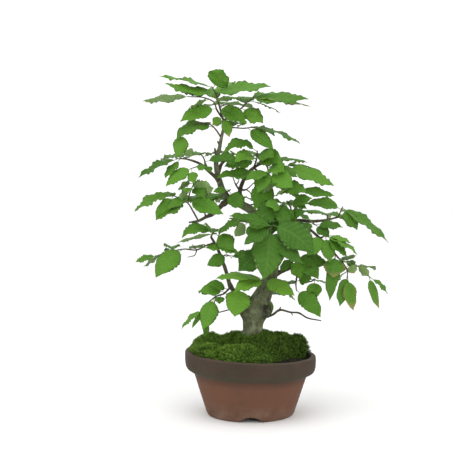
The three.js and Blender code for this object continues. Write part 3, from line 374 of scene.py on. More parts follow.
            (0.7, 67, -80, 214, 22, 74, 0.04),
        ]),
        Shoot([(22, -22, 239.5, 1.5), (16, -34, 236, 1.1), (12, -42, 228, 0.9)], [
            (1, -17, -52, 202, 30, 82, 0.02), (0.6, 1, -56, 228, 12, 60, 0.02),
        ]),
    ],
    "spray_front_arch": [
        Shoot([(13, 4, 258, 2), (2, -14, 264, 1.2), (-8, -24, 266, 0.9)], [
            (1, -45, -32, 245, 18, 26, 0.2), (0.75, 7, -40, 238, 17, 62, 0.02),
            (0.5, -30, 12, 268, 18, 20, 0.08), (0.9, 24, -46, 262, 20, 60, 0.06),
            (0.8, -22, -34, 247, 17, -60, 0.02),
        ]),
    ],
    "spray_centre_dark": [
        Shoot([(40, -4, 259.5, 1.6), (42, -16, 272, 1.2), (42, -26, 288, 0.9)], [
            (1, 4, -44, 268, 30, 78, 0.06), (0.8, 56, -40, 270, 16, 80, 0.02),
            (0.9, 18, -50, 290, 18, 60, 0.08), (0.5, 72, -44, 281, 20, 60, 0.02),
            (0.4, 12, -30, 250, 22, 70, 0.05), (0.95, 44, -50, 262, 22, 66, 0.06),
        ]),
    ],
    "spray_mid_right_upper": [
        Shoot([(62, -9, 267, 1.5), (57, -8, 278, 1.1), (52, -6, 289, 0.8)], [
            (1, 76, -20, 283, 12, 46, 0.08), (0.6, 84, -22, 264, 15, 12, 0.06),
            (0.8, 66, 30, 290, 20, 14, 0.1), (0.5, 34, -32, 284, 16, 60, 0.06),
            (0.9, 82, -30, 298, 20, 52, 0.05),
        ]),
    ],
    "spray_mid_right_end": [
        Shoot([(119, -7, 271.6, 1), (122, -9, 279, 0.9), (124, -10, 284, 0.8)], [
            (1, 186, -22, 237, 27, 24, 0.07), (0.9, 143, -26, 255, 19, 72, 0.04),
            (0.8, 74, -20, 290, 18, 50, 0.1), (0.5, 158, 30, 268, 23, 16, 0.1),
        ]),
    ],
    "spray_mid_right_dark": [
        Shoot([(84, -9, 266, 1.4), (85, -18, 263, 1), (87, -22, 262, 0.8)], [
            (1, 123, -34, 259, 16, 50, 0.04), (0.5, 60, -46, 254, 18, 30, 0.08),
            (0.8, 104, -36, 246, 17, 60, 0.05),
        ]),
    ],
    "spray_mid_right_back": [
        Shoot([(104, -8, 268, 1.2), (106, 12, 272, 1), (106, 32, 273, 0.8)], [
            (1, 114, 74, 264, 22, 8, 0.1), (0.8, 150, 46, 262, 20, 14, 0.1),
            (0.85, 66, 58, 274, 22, 12, 0.1),
        ]),
    ],
    "spray_low_right_fine": [
        Shoot([(92, -23, 244, 1.3), (98, -30, 247, 1), (102, -34, 249, 0.8)], [
            (1, 133, -44, 239, 14, 14, 0.06), (0.7, 141, -52, 223, 22, 4, 0.12),
            (0.5, 74, -50, 222, 20, 70, 0.04), (0.9, 127, -44, 221, 20, 30, 0.05),
            (0.7, 104, -52, 214, 18, 70, 0.04),
        ]),
    ],
    "spray_low_right_end": [
        Shoot([
            (110, -28, 227, 1.3), (122, -28, 214, 1.1), (131, -30, 212, 0.9), (140, -30, 209, 0.8),
            (152, -30, 200, 0.7), (160, -30, 192, 0.6),
        ], [
            (1, 183, -38, 170, 14, 12, 0.06), (0.96, 171, -44, 151, 11, 70, 0),
            (0.6, 158, -40, 194, 16, -50, 0.05), (0.7, 172, 14, 196, 22, 19, 0.08),
            (0.2, 127, -42, 214, 17, -60, 0.02), (0.35, 136, 18, 214, 20, -51, 0.1),
            (0.45, 138, -40, 198, 15, -60, 0.02),
        ]),
        Shoot([(122, -28, 214, 1), (129, -28, 202, 0.9), (130, -31, 191, 0.7)], [
            (1, 137, -40, 148, 19, 76, 0), (0.8, 119, -36, 153, 17, 78, 0),
            (0.6, 112, 8, 172, 21, 31, 0.06), (0.4, 142, -22, 212, 13, 40, 0.06),
        ]),
        Shoot([(113, -28, 224, 1), (113, -33, 224, 0.9), (113, -37, 223, 0.7)], [
            (1, 110, -44, 193, 29, 80, 0), (0.5, 106, -30, 160, 20, 76, 0.02),
        ]),
    ],
    "spray_low_right_folded": [
        Shoot([(57, 4, 214, 1.5), (58, -8, 216, 1.1), (60, -16, 215, 0.9)], [
            (1, 104, -34, 206, 21, 62, 0.08), (0.8, 90, -40, 190, 23, 74, 0.1),
            (0.5, 40, -24, 198, 12, 60, 0.04), (0.9, 66, -36, 190, 20, 70, 0.06),
        ]),
    ],
    "spray_low_right_low": [
        Shoot([
            (55, 8, 201, 2.2), (64, 5, 190, 1.7), (75, 2, 184, 1.3), (83, -2, 183, 0.9),
            (87, -8, 187, 0.7),
        ], [
            (1, 86, -20, 160, 22, 72, 0.02), (0.8, 104, 30, 176, 18, 20, 0.08),
        ]),
        Shoot([(64, 5, 190, 1.4), (62, -6, 181, 1.1), (62, -14, 173, 0.9)], [
            (1, 94, -28, 137, 26, 76, 0.04), (0.4, 82, -26, 189, 16, 70, 0.06),
            (0.6, 44, 28, 176, 18, 24, 0.08),
        ]),
    ],
    "spray_back_low": [
        Shoot([
            (28, 1, 194, 5.5), (33, 24, 204, 3.2), (32, 50, 213, 2.4), (24, 71, 220, 1.5),
            (22, 78, 222, 0.9),
        ], [
            (1, 6, 103, 212, 24, 4, 0.1), (0.9, 58, 95, 214, 22, 10, 0.1),
            (0.7, 70, 67, 218, 22, 14, 0.1),
        ]),
        Shoot([(33, 26, 204.5, 1.6), (22, 40, 210, 1.2), (8, 54, 214, 0.9)], [
            (1, -28, 68, 208, 24, 14, 0.1), (0.7, 4, 82, 208, 22, 10, 0.1),
            (0.6, -18, 34, 218, 20, 22, 0.1),
        ]),
    ],
    "spray_back_middle": [
        Shoot([
            (11, 4, 262, 4.6), (2, 26, 274, 3), (-10, 52, 285, 2.2), (-24, 72, 293, 1.4),
            (-28, 79, 295, 0.8),
        ], [
            (1, -48, 104, 286, 24, 4, 0.1), (0.9, 8, 100, 288, 22, 8, 0.1),
            (0.7, -72, 77, 290, 22, 12, 0.1),
        ]),
        Shoot([(-8, 48, 283.4, 1.5), (6, 60, 286, 1.1), (20, 66, 287, 0.9)], [
            (1, 62, 79, 280, 24, 10, 0.1), (0.75, 26, 94, 282, 22, 8, 0.1),
            (0.5, 44, 46, 288, 20, 20, 0.1),
        ]),
    ],
    "spray_back_upper": [
        Shoot([
            (-45, 1, 330, 3.4), (-40, 22, 343, 2.3), (-31, 46, 351, 1.8), (-24, 65, 356, 1.2),
            (-22, 73, 357, 0.8),
        ], [
            (1, -12, 98, 350, 24, 4, 0.1), (0.85, -66, 86, 352, 22, 10, 0.1),
            (0.7, 26, 74, 352, 22, 12, 0.1),
        ]),
    ],
}
MOSS_CUSHIONS = {
    "moss_collar": (9, 2, 45, 40, 42, 0),
    "moss_left": (-48, 10, 43, 52, 30, 8),
    "moss_right": (42, 27, 34, 28, 36, -6),
    "moss_front": (-16, -47, 44, 34, 27, 0),
    "moss_front_left": (-58, -36, 32, 34, 25, 30),
    "moss_back": (-4, 52, 60, 38, 29, 0),
    "moss_rim_tuft": (67, 38, 20, 22, 31, 10),
}

# ---------------------------------------------------------------- numbers and noise


def smooth(edge0: float, edge1: float, x: Array | float) -> Array:
    """A smooth step: 0 before edge0, 1 after edge1, and 3t^2 - 2t^3 between them."""
    t = np.clip((np.asarray(x, float) - edge0) / (edge1 - edge0), 0.0, 1.0)
    return t * t * (3.0 - 2.0 * t)


def unit(v: Array) -> Array:
    """Vectors scaled to length one along the last axis."""
    return v / np.maximum(np.linalg.norm(v, axis=-1, keepdims=True), 1e-12)


def round_turn(count: int) -> Array:
    """Evenly spaced angles once round, in radians."""
    return np.linspace(0.0, 2.0 * np.pi, count, endpoint=False)


def leant(points: Array) -> Array:
    """Points lowered as the pot's rim leans: z - lean x z / height, with z / height from 0 to 1."""
    x, z = points[..., 0], points[..., 2]
    lower = z - RIM_LEAN * x * np.clip(z / POT_HEIGHT, 0.0, 1.0)
    return np.concatenate([points[..., :2], lower[..., None]], axis=-1)


def from_bearing(angle: Array, degrees: float) -> Array:
    """Angles measured from a bearing, in radians from -pi to pi."""
    return np.angle(np.exp(1j * (angle - math.radians(degrees))))


def turned(u: Array, v: Array, degrees: float, x: float = 0.0, y: float = 0.0) -> tuple[Array, Array]:
    """Flat places (u, v) turned about the middle and then moved by (x, y)."""
    c, s = math.cos(math.radians(degrees)), math.sin(math.radians(degrees))
    return x + u * c - v * s, y + u * s + v * c


def lattice(cell: Array) -> Array:
    """A repeatable number from 0 to 1 for each whole-numbered cell.

    Args:
        cell: whole numbers, shape (..., 3).

    Returns:
        Numbers from 0 to 1, shape (...).
    """
    c = cell.astype(np.int64).astype(np.uint64)
    n = c[..., 0] * np.uint64(374761393) + c[..., 1] * np.uint64(668265263)
    n = (n + c[..., 2] * np.uint64(2147483647)) & np.uint64(0xFFFFFFFF)
    n = ((n ^ (n >> np.uint64(13))) * np.uint64(1274126177)) & np.uint64(0xFFFFFFFF)
    n = n ^ (n >> np.uint64(16))
    return (n & np.uint64(0xFFFF)).astype(float) / 65535.0


def noise(p: Array, size: float, octaves: int = 3) -> Array:
    """Value noise from -1 to 1: lattice numbers blended smoothly, and halved and doubled in scale.

    Args:
        p: points, shape (..., 3), in millimetres.
        size: the size of the coarsest cell.
        octaves: how many finer layers are summed.

    Returns:
        The noise at each point, shape (...).
    """
    total, weight, norm = np.zeros(p.shape[:-1]), 1.0, 0.0
    for layer in range(octaves):
        q = p / (size / 2**layer) + 17.3 * layer
        low = np.floor(q)
        t = q - low
        t = t * t * (3.0 - 2.0 * t)
        value = np.zeros(p.shape[:-1])
        for corner in np.ndindex(2, 2, 2):
            share = np.prod(np.where(np.array(corner) == 1, t, 1.0 - t), axis=-1)
            value += share * lattice(low + np.array(corner))
        total += weight * (2.0 * value - 1.0)
        norm += weight
        weight *= 0.5
    return total / norm


def flow(rows: Sequence[Row], steps: int) -> tuple[Array, Array]:
    """A smooth line through rows of (x, y, z, radius): a centripetal Catmull-Rom spline.

    Each span between rows is blended by Barry and Goldman's pyramid of straight blends, with
    knots a square root of the distance apart.

    Args:
        rows: the rows, two or more.
        steps: how many pieces each span is cut into.

    Returns:
        The points, shape (n, 3), and the radius at each.
    """
    table = np.array(rows, float)
    points = table[:, :3]
    points = np.vstack([2 * points[0] - points[1], points, 2 * points[-1] - points[-2]])
    gaps = np.sqrt(np.maximum(np.linalg.norm(np.diff(points, axis=0), axis=1), 1e-9))
    knots = np.concatenate([[0.0], np.cumsum(gaps)])
    made = []
    for i in range(len(table) - 1):
        last = i == len(table) - 2
        t = np.linspace(0.0, 1.0, steps + 1)[: steps + 1 if last else steps]
        k = knots[i : i + 4]
        u = (k[1] + t * (k[2] - k[1]))[:, None]
        p = points[i : i + 4]

        def mix(a: Array, b: Array, k0: float, k1: float) -> Array:
            """A straight blend from a at knot k0 to b at knot k1."""
            return a * (k1 - u) / (k1 - k0) + b * (u - k0) / (k1 - k0)

        a1, a2, a3 = (mix(p[j], p[j + 1], k[j], k[j + 1]) for j in range(3))
        b1, b2 = mix(a1, a2, k[0], k[2]), mix(a2, a3, k[1], k[3])
        made.append(mix(b1, b2, k[1], k[2]))
    line = np.vstack(made)
    place = np.linspace(0.0, len(table) - 1.0, len(line))
    return line, np.interp(place, np.arange(len(table)), table[:, 3])


def along_line(rows: Sequence[Row], share: Array) -> tuple[Array, Array]:
    """Points and directions at shares 0 to 1 of a smooth line, counted row by row."""
    line, _ = flow(rows, 8)
    place = np.clip(share, 0.0, 1.0) * (len(line) - 1)
    index = np.arange(len(line))
    at = np.stack([np.interp(place, index, line[:, k]) for k in range(3)], axis=-1)
    slope = np.gradient(line, axis=0)
    way = np.stack([np.interp(place, index, slope[:, k]) for k in range(3)], axis=-1)
    return at, unit(way)


def carried_frames(line: Array) -> tuple[Array, Array, Array]:
    """Directions along, across and over a line, turned as little as possible from point to point."""
    along = unit(np.gradient(line, axis=0))
    across = np.zeros_like(along)
    held = np.array([0.0, 1.0, 0.2])
    for i, way in enumerate(along):
        held = held - way * (way @ held)
        held = held / max(np.linalg.norm(held), 1e-9)
        across[i] = held
    return along, across, np.cross(along, across)


# ---------------------------------------------------------------- meshes


@dataclass
class Surface:
    """A growing closed surface: points, faces, and a value or two at each point.

    Points are in millimetres about the pot's axis until the piece is made.
    """

    points: list[Array] = field(default_factory=list)
    quads: list[Array] = field(default_factory=list)
    triangles: list[Array] = field(default_factory=list)
    quad_slots: list[Array] = field(default_factory=list)
    triangle_slots: list[Array] = field(default_factory=list)
    values: dict[str, list[Array]] = field(default_factory=dict)
    count: int = 0

    def add(
        self,
        points: Array,
        quads: Array | None = None,
        triangles: Array | None = None,
        slot: int = 0,
        **values: Array | float,
    ) -> None:
        """Joins more geometry to the surface.

        Args:
            points: shape (n, 3).
            quads: indices into points, shape (m, 4).
            triangles: indices into points, shape (k, 3).
            slot: which of the piece's finishes these faces take.
            values: a number, or one number for each point, for each named attribute.
        """
        points = points.reshape(-1, 3)
        for name, value in values.items():
            filled = np.broadcast_to(np.asarray(value, float), (len(points),))
            self.values.setdefault(name, [np.zeros(self.count)] if self.count else [])
            self.values[name].append(filled)
        for name in self.values.keys() - values.keys():
            self.values[name].append(np.zeros(len(points)))
        if quads is not None and len(quads):
            self.quads.append(quads + self.count)
            self.quad_slots.append(np.full(len(quads), slot))
        if triangles is not None and len(triangles):
            self.triangles.append(triangles + self.count)
            self.triangle_slots.append(np.full(len(triangles), slot))
        self.points.append(points)
        self.count += len(points)

    def skin(self, rings: Array, slot: int = 0, **values: Array | float) -> None:
        """Joins a closed skin over rings of points, with a flat cap at each end.

        Args:
            rings: shape (rings, sides, 3), each ring in the same turning sense.
            slot: which of the piece's finishes the skin takes.
            values: numbers for each named attribute, each of the rings' own shape.
        """
        count, sides = rings.shape[:2]
        quads = ring_quads(count, sides)
        ends = np.vstack([rings[0].mean(axis=0), rings[-1].mean(axis=0)])
        here = np.arange(sides)
        there = (here + 1) % sides
        first = np.stack([np.full(sides, count * sides), there, here], axis=1)
        last = np.stack([np.full(sides, count * sides + 1), here, there], axis=1)
        last[:, 1:] += (count - 1) * sides
        spread = {}
        for name, value in values.items():
            grid = np.broadcast_to(np.asarray(value, float), (count, sides))
            spread[name] = np.append(grid.ravel(), [grid[0].mean(), grid[-1].mean()])
        points = np.vstack([rings.reshape(-1, 3), ends])
        self.add(points, quads, np.vstack([first, last]), slot, **spread)

    def piece(self, name: str, finishes: Sequence[bpy.types.Material], home: Array) -> bpy.types.Object:
        """Makes the Blender object.

        Args:
            name: the object's name.
            finishes: its materials, in the order that slots count them.
            home: the pot axis's place in the frame, in metres.

        Returns:
            The object, unturned and unscaled, with its place in its mesh.
        """
        points = np.vstack(self.points) * MM + home
        quads = np.vstack(self.quads) if self.quads else np.zeros((0, 4), int)
        triangles = np.vstack(self.triangles) if self.triangles else np.zeros((0, 3), int)
        slots = np.concatenate([*self.quad_slots, *self.triangle_slots])
        corners = np.concatenate([quads.ravel(), triangles.ravel()])
        sizes = np.concatenate([np.full(len(quads), 4), np.full(len(triangles), 3)])
        mesh = bpy.data.meshes.new(name)
        mesh.vertices.add(len(points))
        mesh.vertices.foreach_set("co", points.astype(np.float32).ravel())
        mesh.loops.add(len(corners))
        mesh.loops.foreach_set("vertex_index", corners.astype(np.int32))
        mesh.polygons.add(len(sizes))
        mesh.polygons.foreach_set("loop_start", (np.cumsum(sizes) - sizes).astype(np.int32))
        mesh.update(calc_edges=True)
        for finish in finishes:
            mesh.materials.append(finish)
        mesh.polygons.foreach_set("material_index", slots.astype(np.int32))
        mesh.polygons.foreach_set("use_smooth", np.ones(len(sizes), bool))
        values = {key: np.concatenate(value) for key, value in self.values.items()}
        if "u" in values and "v" in values:
            layer = mesh.uv_layers.new(name="surface")
            pairs = np.stack([values.pop("u")[corners], values.pop("v")[corners]], axis=1)
            layer.data.foreach_set("uv", pairs.astype(np.float32).ravel())
        for key, value in values.items():
            attribute = mesh.attributes.new(key, "FLOAT", "POINT")
            attribute.data.foreach_set("value", value.astype(np.float32))
        mesh.validate()
        made = bpy.data.objects.new(name, mesh)
        bpy.context.scene.collection.objects.link(made)
        return made


def stands_for(made: bpy.types.Object, node: str) -> bpy.types.Object:
    """Hides a piece's CAD node, so that the piece stands in its place, and gives the piece back."""
    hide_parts(node)
    return made


def ring_quads(rings: int, sides: int, closed: bool = False) -> Array:
    """Faces between neighbouring rings of points, four corners each.

    Args:
        rings: how many rings there are.
        sides: how many points each ring has.
        closed: whether the last ring joins the first.

    Returns:
        Indices, shape (faces, 4).
    """
    spans = rings if closed else rings - 1
    i, j = np.meshgrid(np.arange(spans), np.arange(sides), indexing="ij")
    k, n = (j + 1) % sides, (i + 1) % rings
    return np.stack([i * sides + j, i * sides + k, n * sides + k, n * sides + j], -1).reshape(-1, 4)


def tube(rows: Sequence[Row], steps: int, sides: int, rough: float = 0.0, lumps: float = 6.0) -> Array:
    """Rings round a smooth line: radius times (cos a across + sin a over), roughened by noise.

    Args:
        rows: (x, y, z, radius) along the middle.
        steps: rings in each span.
        sides: points in each ring.
        rough: how far the surface may stand in or out, as a share of the radius.
        lumps: the size of that roughness, in millimetres.

    Returns:
        The rings, shape (n, sides, 3).
    """
    line, radius = flow(rows, steps)
    _, across, over = carried_frames(line)
    angle = round_turn(sides)[None, :, None]
    out = np.cos(angle) * across[:, None] + np.sin(angle) * over[:, None]
    rings = line[:, None] + radius[:, None, None] * out
    if rough:
        swell = radius[:, None] * rough * noise(rings, lumps, 3)
        rings = rings + out * swell[..., None]
    return rings


def scattered(template: Array, faces: Array, frames: Array, at: Array) -> tuple[Array, Array]:
    """Copies of a small shape: each is at + its frame times the template's points.

    Args:
        template: the shape's points, shape (p, 3).
        faces: its faces, shape (f, corners).
        frames: one 3 by 3 frame for each copy, whose columns are its scaled axes.
        at: one place for each copy, shape (n, 3).

    Returns:
        All points, shape (n * p, 3), and all faces.
    """
    points = np.einsum("nij,pj->npi", frames, template) + at[:, None]
    offsets = (np.arange(len(at)) * len(template))[:, None, None]
    return points.reshape(-1, 3), (faces[None] + offsets).reshape(-1, faces.shape[1])


# ---------------------------------------------------------------- shader arithmetic


class Signal:
    """A number that varies over a surface: an output socket that takes Python arithmetic."""

    def __init__(self, bench: "Bench", socket: bpy.types.NodeSocket) -> None:
        """Wraps a socket that belongs to the bench's node tree."""
        self.bench = bench
        self.socket = socket

    def _with(self, operation: str, *values: "Signal | float") -> "Signal":
        """Adds one Math node over the given values, in their order."""
        return self.bench.node("ShaderNodeMath", {"operation": operation}, *values)

    def __add__(self, other: "Signal | float") -> "Signal":
        """self + other."""
        return self._with("ADD", self, other)

    def __radd__(self, other: float) -> "Signal":
        """other + self."""
        return self._with("ADD", other, self)

    def __sub__(self, other: "Signal | float") -> "Signal":
        """self - other."""
        return self._with("SUBTRACT", self, other)

    def __rsub__(self, other: float) -> "Signal":
        """other - self."""
        return self._with("SUBTRACT", other, self)

    def __mul__(self, other: "Signal | float") -> "Signal":
        """self times other."""
        return self._with("MULTIPLY", self, other)

    def __rmul__(self, other: float) -> "Signal":
        """other times self."""
        return self._with("MULTIPLY", other, self)

    def __truediv__(self, other: "Signal | float") -> "Signal":
        """self over other."""
        return self._with("DIVIDE", self, other)

    def __abs__(self) -> "Signal":
        """The distance of self from nought."""
        return self._with("ABSOLUTE", self)

    def sine(self) -> "Signal":
        """The sine of self, in radians."""
        return self._with("SINE", self)

    def clamped(self) -> "Signal":
        """self kept from 0 to 1."""
        settings = {"operation": "ADD", "use_clamp": True}
        return self.bench.node("ShaderNodeMath", settings, self, 0.0)

    def cut(self, gain: float, less: float) -> "Signal":
        """A mask that deepens where self is high: gain times self, less an amount, kept from 0 to 1."""
        return (self * gain - less).clamped()

    def step(self, low: float, high: float) -> "Signal":
        """A smooth step from 0 where self is low to 1 where it is high."""
        settings = {"interpolation_type": "SMOOTHSTEP", "clamp": True}
        return self.bench.node("ShaderNodeMapRange", settings, self, low, high, 0.0, 1.0)


class Bench:
    """Builds one material: its nodes come from here, and its Principled shader closes it."""

    def __init__(self, name: str) -> None:
        """Starts an empty node tree under that name."""
        self.material = bpy.data.materials.new(name)
        self.material.use_nodes = True
        self.tree = self.material.node_tree
        self.tree.nodes.clear()

    def node(
        self, kind: str, settings: dict[str, Any], *inputs: Any, out: int = 0, **named: Any
    ) -> Signal:
        """Adds a node.

        Args:
            kind: the node's type.
            settings: its own options, set first.
            inputs: values or links for its visible input sockets, in order; None leaves one alone.
            out: which visible output to give back.
            named: values or links for inputs by name, with _ for a space.

        Returns:
            The chosen output.
        """
        made = self.tree.nodes.new(kind)
        for key, value in settings.items():
            setattr(made, key, value)
        shown = [socket for socket in made.inputs if socket.enabled]
        pairs = [(shown[i], value) for i, value in enumerate(inputs) if value is not None]
        pairs += [(made.inputs[key.replace("_", " ")], value) for key, value in named.items()]
        for socket, value in pairs:
            if isinstance(value, Signal):
                self.tree.links.new(value.socket, socket)
            elif isinstance(value, tuple) and socket.type == "RGBA":
                socket.default_value = (*value, 1.0)
            else:
                socket.default_value = value
        return Signal(self, [socket for socket in made.outputs if socket.enabled][out])

    def place(self) -> Signal:
        """The point's place in the frame, in metres."""
        object_coordinates = 3
        return self.node("ShaderNodeTexCoord", {}, out=object_coordinates)

    def split(self, vector: Signal) -> tuple[Signal, Signal, Signal]:
        """A vector's three numbers."""
        first = self.node("ShaderNodeSeparateXYZ", {}, vector)
        outputs = first.socket.node.outputs
        return first, Signal(self, outputs[1]), Signal(self, outputs[2])

    def stretched(self, vector: Signal, scale: Row, offset: Row = (0.0, 0.0, 0.0)) -> Signal:
        """A vector scaled along each axis and then moved."""
        settings = {"operation": "MULTIPLY_ADD"}
        return self.node("ShaderNodeVectorMath", settings, vector, scale, offset)

    def grain(self, vector: Signal, scale: float, detail: float = 3.0, rough: float = 0.55) -> Signal:
        """Noise from 0 to 1 over a vector."""
        named = {"Scale": scale, "Detail": detail, "Roughness": rough}
        return self.node("ShaderNodeTexNoise", {}, Vector=vector, **named)

    def cells(self, vector: Signal, scale: float, feature: str = "F1") -> Signal:
        """The distance to the nearest of scattered points, or to the edge between two cells."""
        return self.node("ShaderNodeTexVoronoi", {"feature": feature}, Vector=vector, Scale=scale)

    def value(self, name: str) -> Signal:
        """A number that the piece carries at each point."""
        factor = 2
        return self.node("ShaderNodeAttribute", {"attribute_name": name}, out=factor)

    def blend(self, first: Signal | Colour, second: Signal | Colour, share: Signal | float) -> Signal:
        """A colour between two others: first where share is 0, second where it is 1."""
        return self.node("ShaderNodeMix", {"data_type": "RGBA"}, share, first, second)

    def shaded(self, colour: Signal, factor: Signal) -> Signal:
        """A colour made lighter or darker by a factor."""
        settings = {"data_type": "RGBA", "blend_type": "MULTIPLY"}
        grey = self.node("ShaderNodeCombineColor", {}, factor, factor, factor)
        return self.node("ShaderNodeMix", settings, 1.0, colour, grey)

    def bumped(self, height: Signal, distance: float, strength: float = 1.0) -> Signal:
        """A normal that follows a height from 0 to 1 over a distance in metres."""
        return self.node("ShaderNodeBump", {}, Strength=strength, Distance=distance, Height=height)

    def close(
        self, colour: Signal, roughness: Signal | float, normal: Signal | None, **fixed: Any
    ) -> bpy.types.Material:
        """Joins the Principled shader.

        Args:
            colour: the base colour.
            roughness: a number or a signal.
            normal: the bumped normal, or None.
            fixed: constants for other sockets, with _ for a space.

        Returns:
            The finished material.
        """
        named: dict[str, Any] = {"Base_Color": colour, "Roughness": roughness, **fixed}
        if normal is not None:
            named["Normal"] = normal
        shader = self.node("ShaderNodeBsdfPrincipled", {}, **named)
        output = self.tree.nodes.new("ShaderNodeOutputMaterial")
        self.tree.links.new(shader.socket, output.inputs["Surface"])
        return self.material


# ---------------------------------------------------------------- finishes


@dataclass(frozen=True)
class ClayFinish:
    """Unglazed fired clay, smoked dark on the rim band and bloomed with salts near the foot; painted shade
    lies along its throwing rings and inside its wall, and a painted highlight on its lip.
    """

    centre: Row
    warm: Colour = (0.150, 0.061, 0.033)
    dull: Colour = (0.106, 0.051, 0.031)
    bloom: Colour = (0.215, 0.150, 0.105)
    smoke: Colour = (0.034, 0.023, 0.014)
    moss_stain: Colour = (0.046, 0.045, 0.022)
    wear_and_lip_highlight: Colour = (0.105, 0.078, 0.052)
    damp: Colour = (0.030, 0.024, 0.018)
    throwing_ring_shade: Colour = (0.105, 0.060, 0.042)
    run_off: Colour = (0.095, 0.078, 0.050)
    thin_smoke: Colour = (0.058, 0.037, 0.024)
    grog: Colour = (0.40, 0.36, 0.30)

    def made(self) -> bpy.types.Material:
        """Builds the material."""
        bench = Bench("smoked_clay")
        place = bench.stretched(bench.place(), (1.0, 1.0, 1.0), tuple(-c for c in self.centre))
        x, y, z = bench.split(place)
        height = (z + x * z * (RIM_LEAN / (POT_HEIGHT * MM))) / MM
        cloud = bench.grain(place, 26.0, 4.0)
        fine = bench.grain(place, 420.0, 3.0, 0.6)
        speck = bench.grain(place, 1500.0, 2.0, 0.7)
        rings = bench.grain(bench.stretched(place, (6.0, 6.0, 260.0)), 1.0, 4.0, 0.65)
        streaks = bench.grain(bench.stretched(place, (55.0, 55.0, 9.0)), 1.0, 3.0)

        body = bench.blend(self.dull, self.warm, cloud.cut(1.7, 0.35))
        # painted shade along the throwing rings
        body = bench.blend(body, self.throwing_ring_shade, rings.cut(2.4, 1.25) * 0.45)
        low = 1.0 - height.step(3.0, 30.0)
        salts = (low * (bench.grain(place, 60.0, 5.0, 0.65) * 2.6 - 0.95)).clamped()
        body = bench.blend(body, self.bloom, salts * 0.75)
        body = bench.blend(body, self.run_off, ((streaks * 2.5 - 1.35) * low).clamped() * 0.6)
        body = bench.blend(body, self.smoke, height.step(44.0, 58.0) * 0.55)

        band = bench.blend(self.smoke, self.thin_smoke, cloud.cut(2.0, 0.55))
        green = (1.0 - height.step(58.0, 71.0)) * 0.55
        green = green + bench.grain(place, 48.0, 4.0).cut(2.2, 1.15) * 0.45
        band = bench.blend(band, self.moss_stain, green.clamped())
        band = bench.blend(band, self.wear_and_lip_highlight, (speck * fine * 6.0 - 1.9).clamped() * 0.35)
        # painted highlight along the lip's top, over some real wear; the specks above are real wear
        lip = height.step(82.6, 84.8) * fine.cut(1.6, 0.2)
        band = bench.blend(band, self.wear_and_lip_highlight, lip * 0.55)

        edge = (height + fine * 1.6 - 0.8).step(56.6, 58.4)
        colour = bench.blend(body, band, edge)
        colour = bench.blend(colour, self.grog, speck.cut(5.0, 3.55) * 0.35)
        # the inside of the wall darkened nearly to black: damp clay, deepened with painted shade
        colour = bench.blend(colour, self.damp, bench.value("inside") * 0.85)
        relief = rings * 0.5 + fine * 0.3 + speck * 0.2
        normal = bench.bumped(relief, 0.0006, 0.6)
        return bench.close(colour, fine * 0.2 + 0.72, normal, Specular_IOR_Level=0.3)


@dataclass(frozen=True)
class SoilFinish:
    """Dark damp soil of small baked grains."""

    dark: Colour = (0.008, 0.007, 0.005)
    light: Colour = (0.034, 0.027, 0.018)
    chip: Colour = (0.075, 0.060, 0.040)

    def made(self) -> bpy.types.Material:
        """Builds the material."""
        bench = Bench("damp_soil")
        place = bench.place()
        grit = bench.grain(place, 900.0, 3.0, 0.7)
        lumps = bench.cells(place, 520.0)
        paleness = grit * 1.6 - 0.5 + bench.value("tone") * 0.4
        colour = bench.blend(self.dark, self.light, paleness.clamped())
        colour = bench.blend(colour, self.chip, grit.cut(5.0, 3.3) * 0.5)
        relief = grit * 0.5 + (1.0 - lumps) * 0.5
        return bench.close(colour, 0.92, bench.bumped(relief, 0.0011), Specular_IOR_Level=0.2)


@dataclass(frozen=True)
class MossFinish:
    """Short feathery moss: deep green at the roots, bright at the tips, with browned patches; the dark roots
    and lower fronds are partly painted shade.

    Its colour is lighter towards the tree's left.
    """

    root: Colour = (0.026, 0.042, 0.008)
    blade: Colour = (0.070, 0.140, 0.014)
    tip: Colour = (0.170, 0.310, 0.038)
    browned: Colour = (0.090, 0.062, 0.024)

    def made(self) -> bpy.types.Material:
        """Builds the material."""
        bench = Bench("feather_moss")
        place = bench.place()
        rise, tone = bench.value("rise"), bench.value("tone")
        patch = bench.grain(place, 75.0, 3.0)
        # darker at the fronds' feet: real moss colour, deepened as painted shade
        colour = bench.blend(self.root, self.blade, rise.step(0.05, 0.6))
        bright = rise.step(0.35, 1.0) * (patch * 1.8 - 0.35 + tone * 0.45)
        colour = bench.blend(colour, self.tip, bright.clamped())
        dry = bench.grain(place, 52.0, 4.0, 0.6).cut(5.0, 3.1) * 0.75
        colour = bench.blend(colour, self.browned, dry)
        across, _, _ = bench.split(place)
        # a brightness factor that is higher towards the tree's left
        leftward_lightening = 1.2 - across.step(-0.10, 0.06) * 0.34
        colour = bench.shaded(colour, (patch * 0.9 + tone * 0.8 + 0.38) * leftward_lightening)
        fine = bench.grain(place, 1100.0, 4.0, 0.7)
        return bench.close(colour, 0.82, bench.bumped(fine, 0.0016, 0.8), Specular_IOR_Level=0.2)


class Age(Enum):
    """How old a piece of wood is."""

    OLD = "old_bark"
    YOUNG = "young_bark"
    DEAD = "dead_bark"


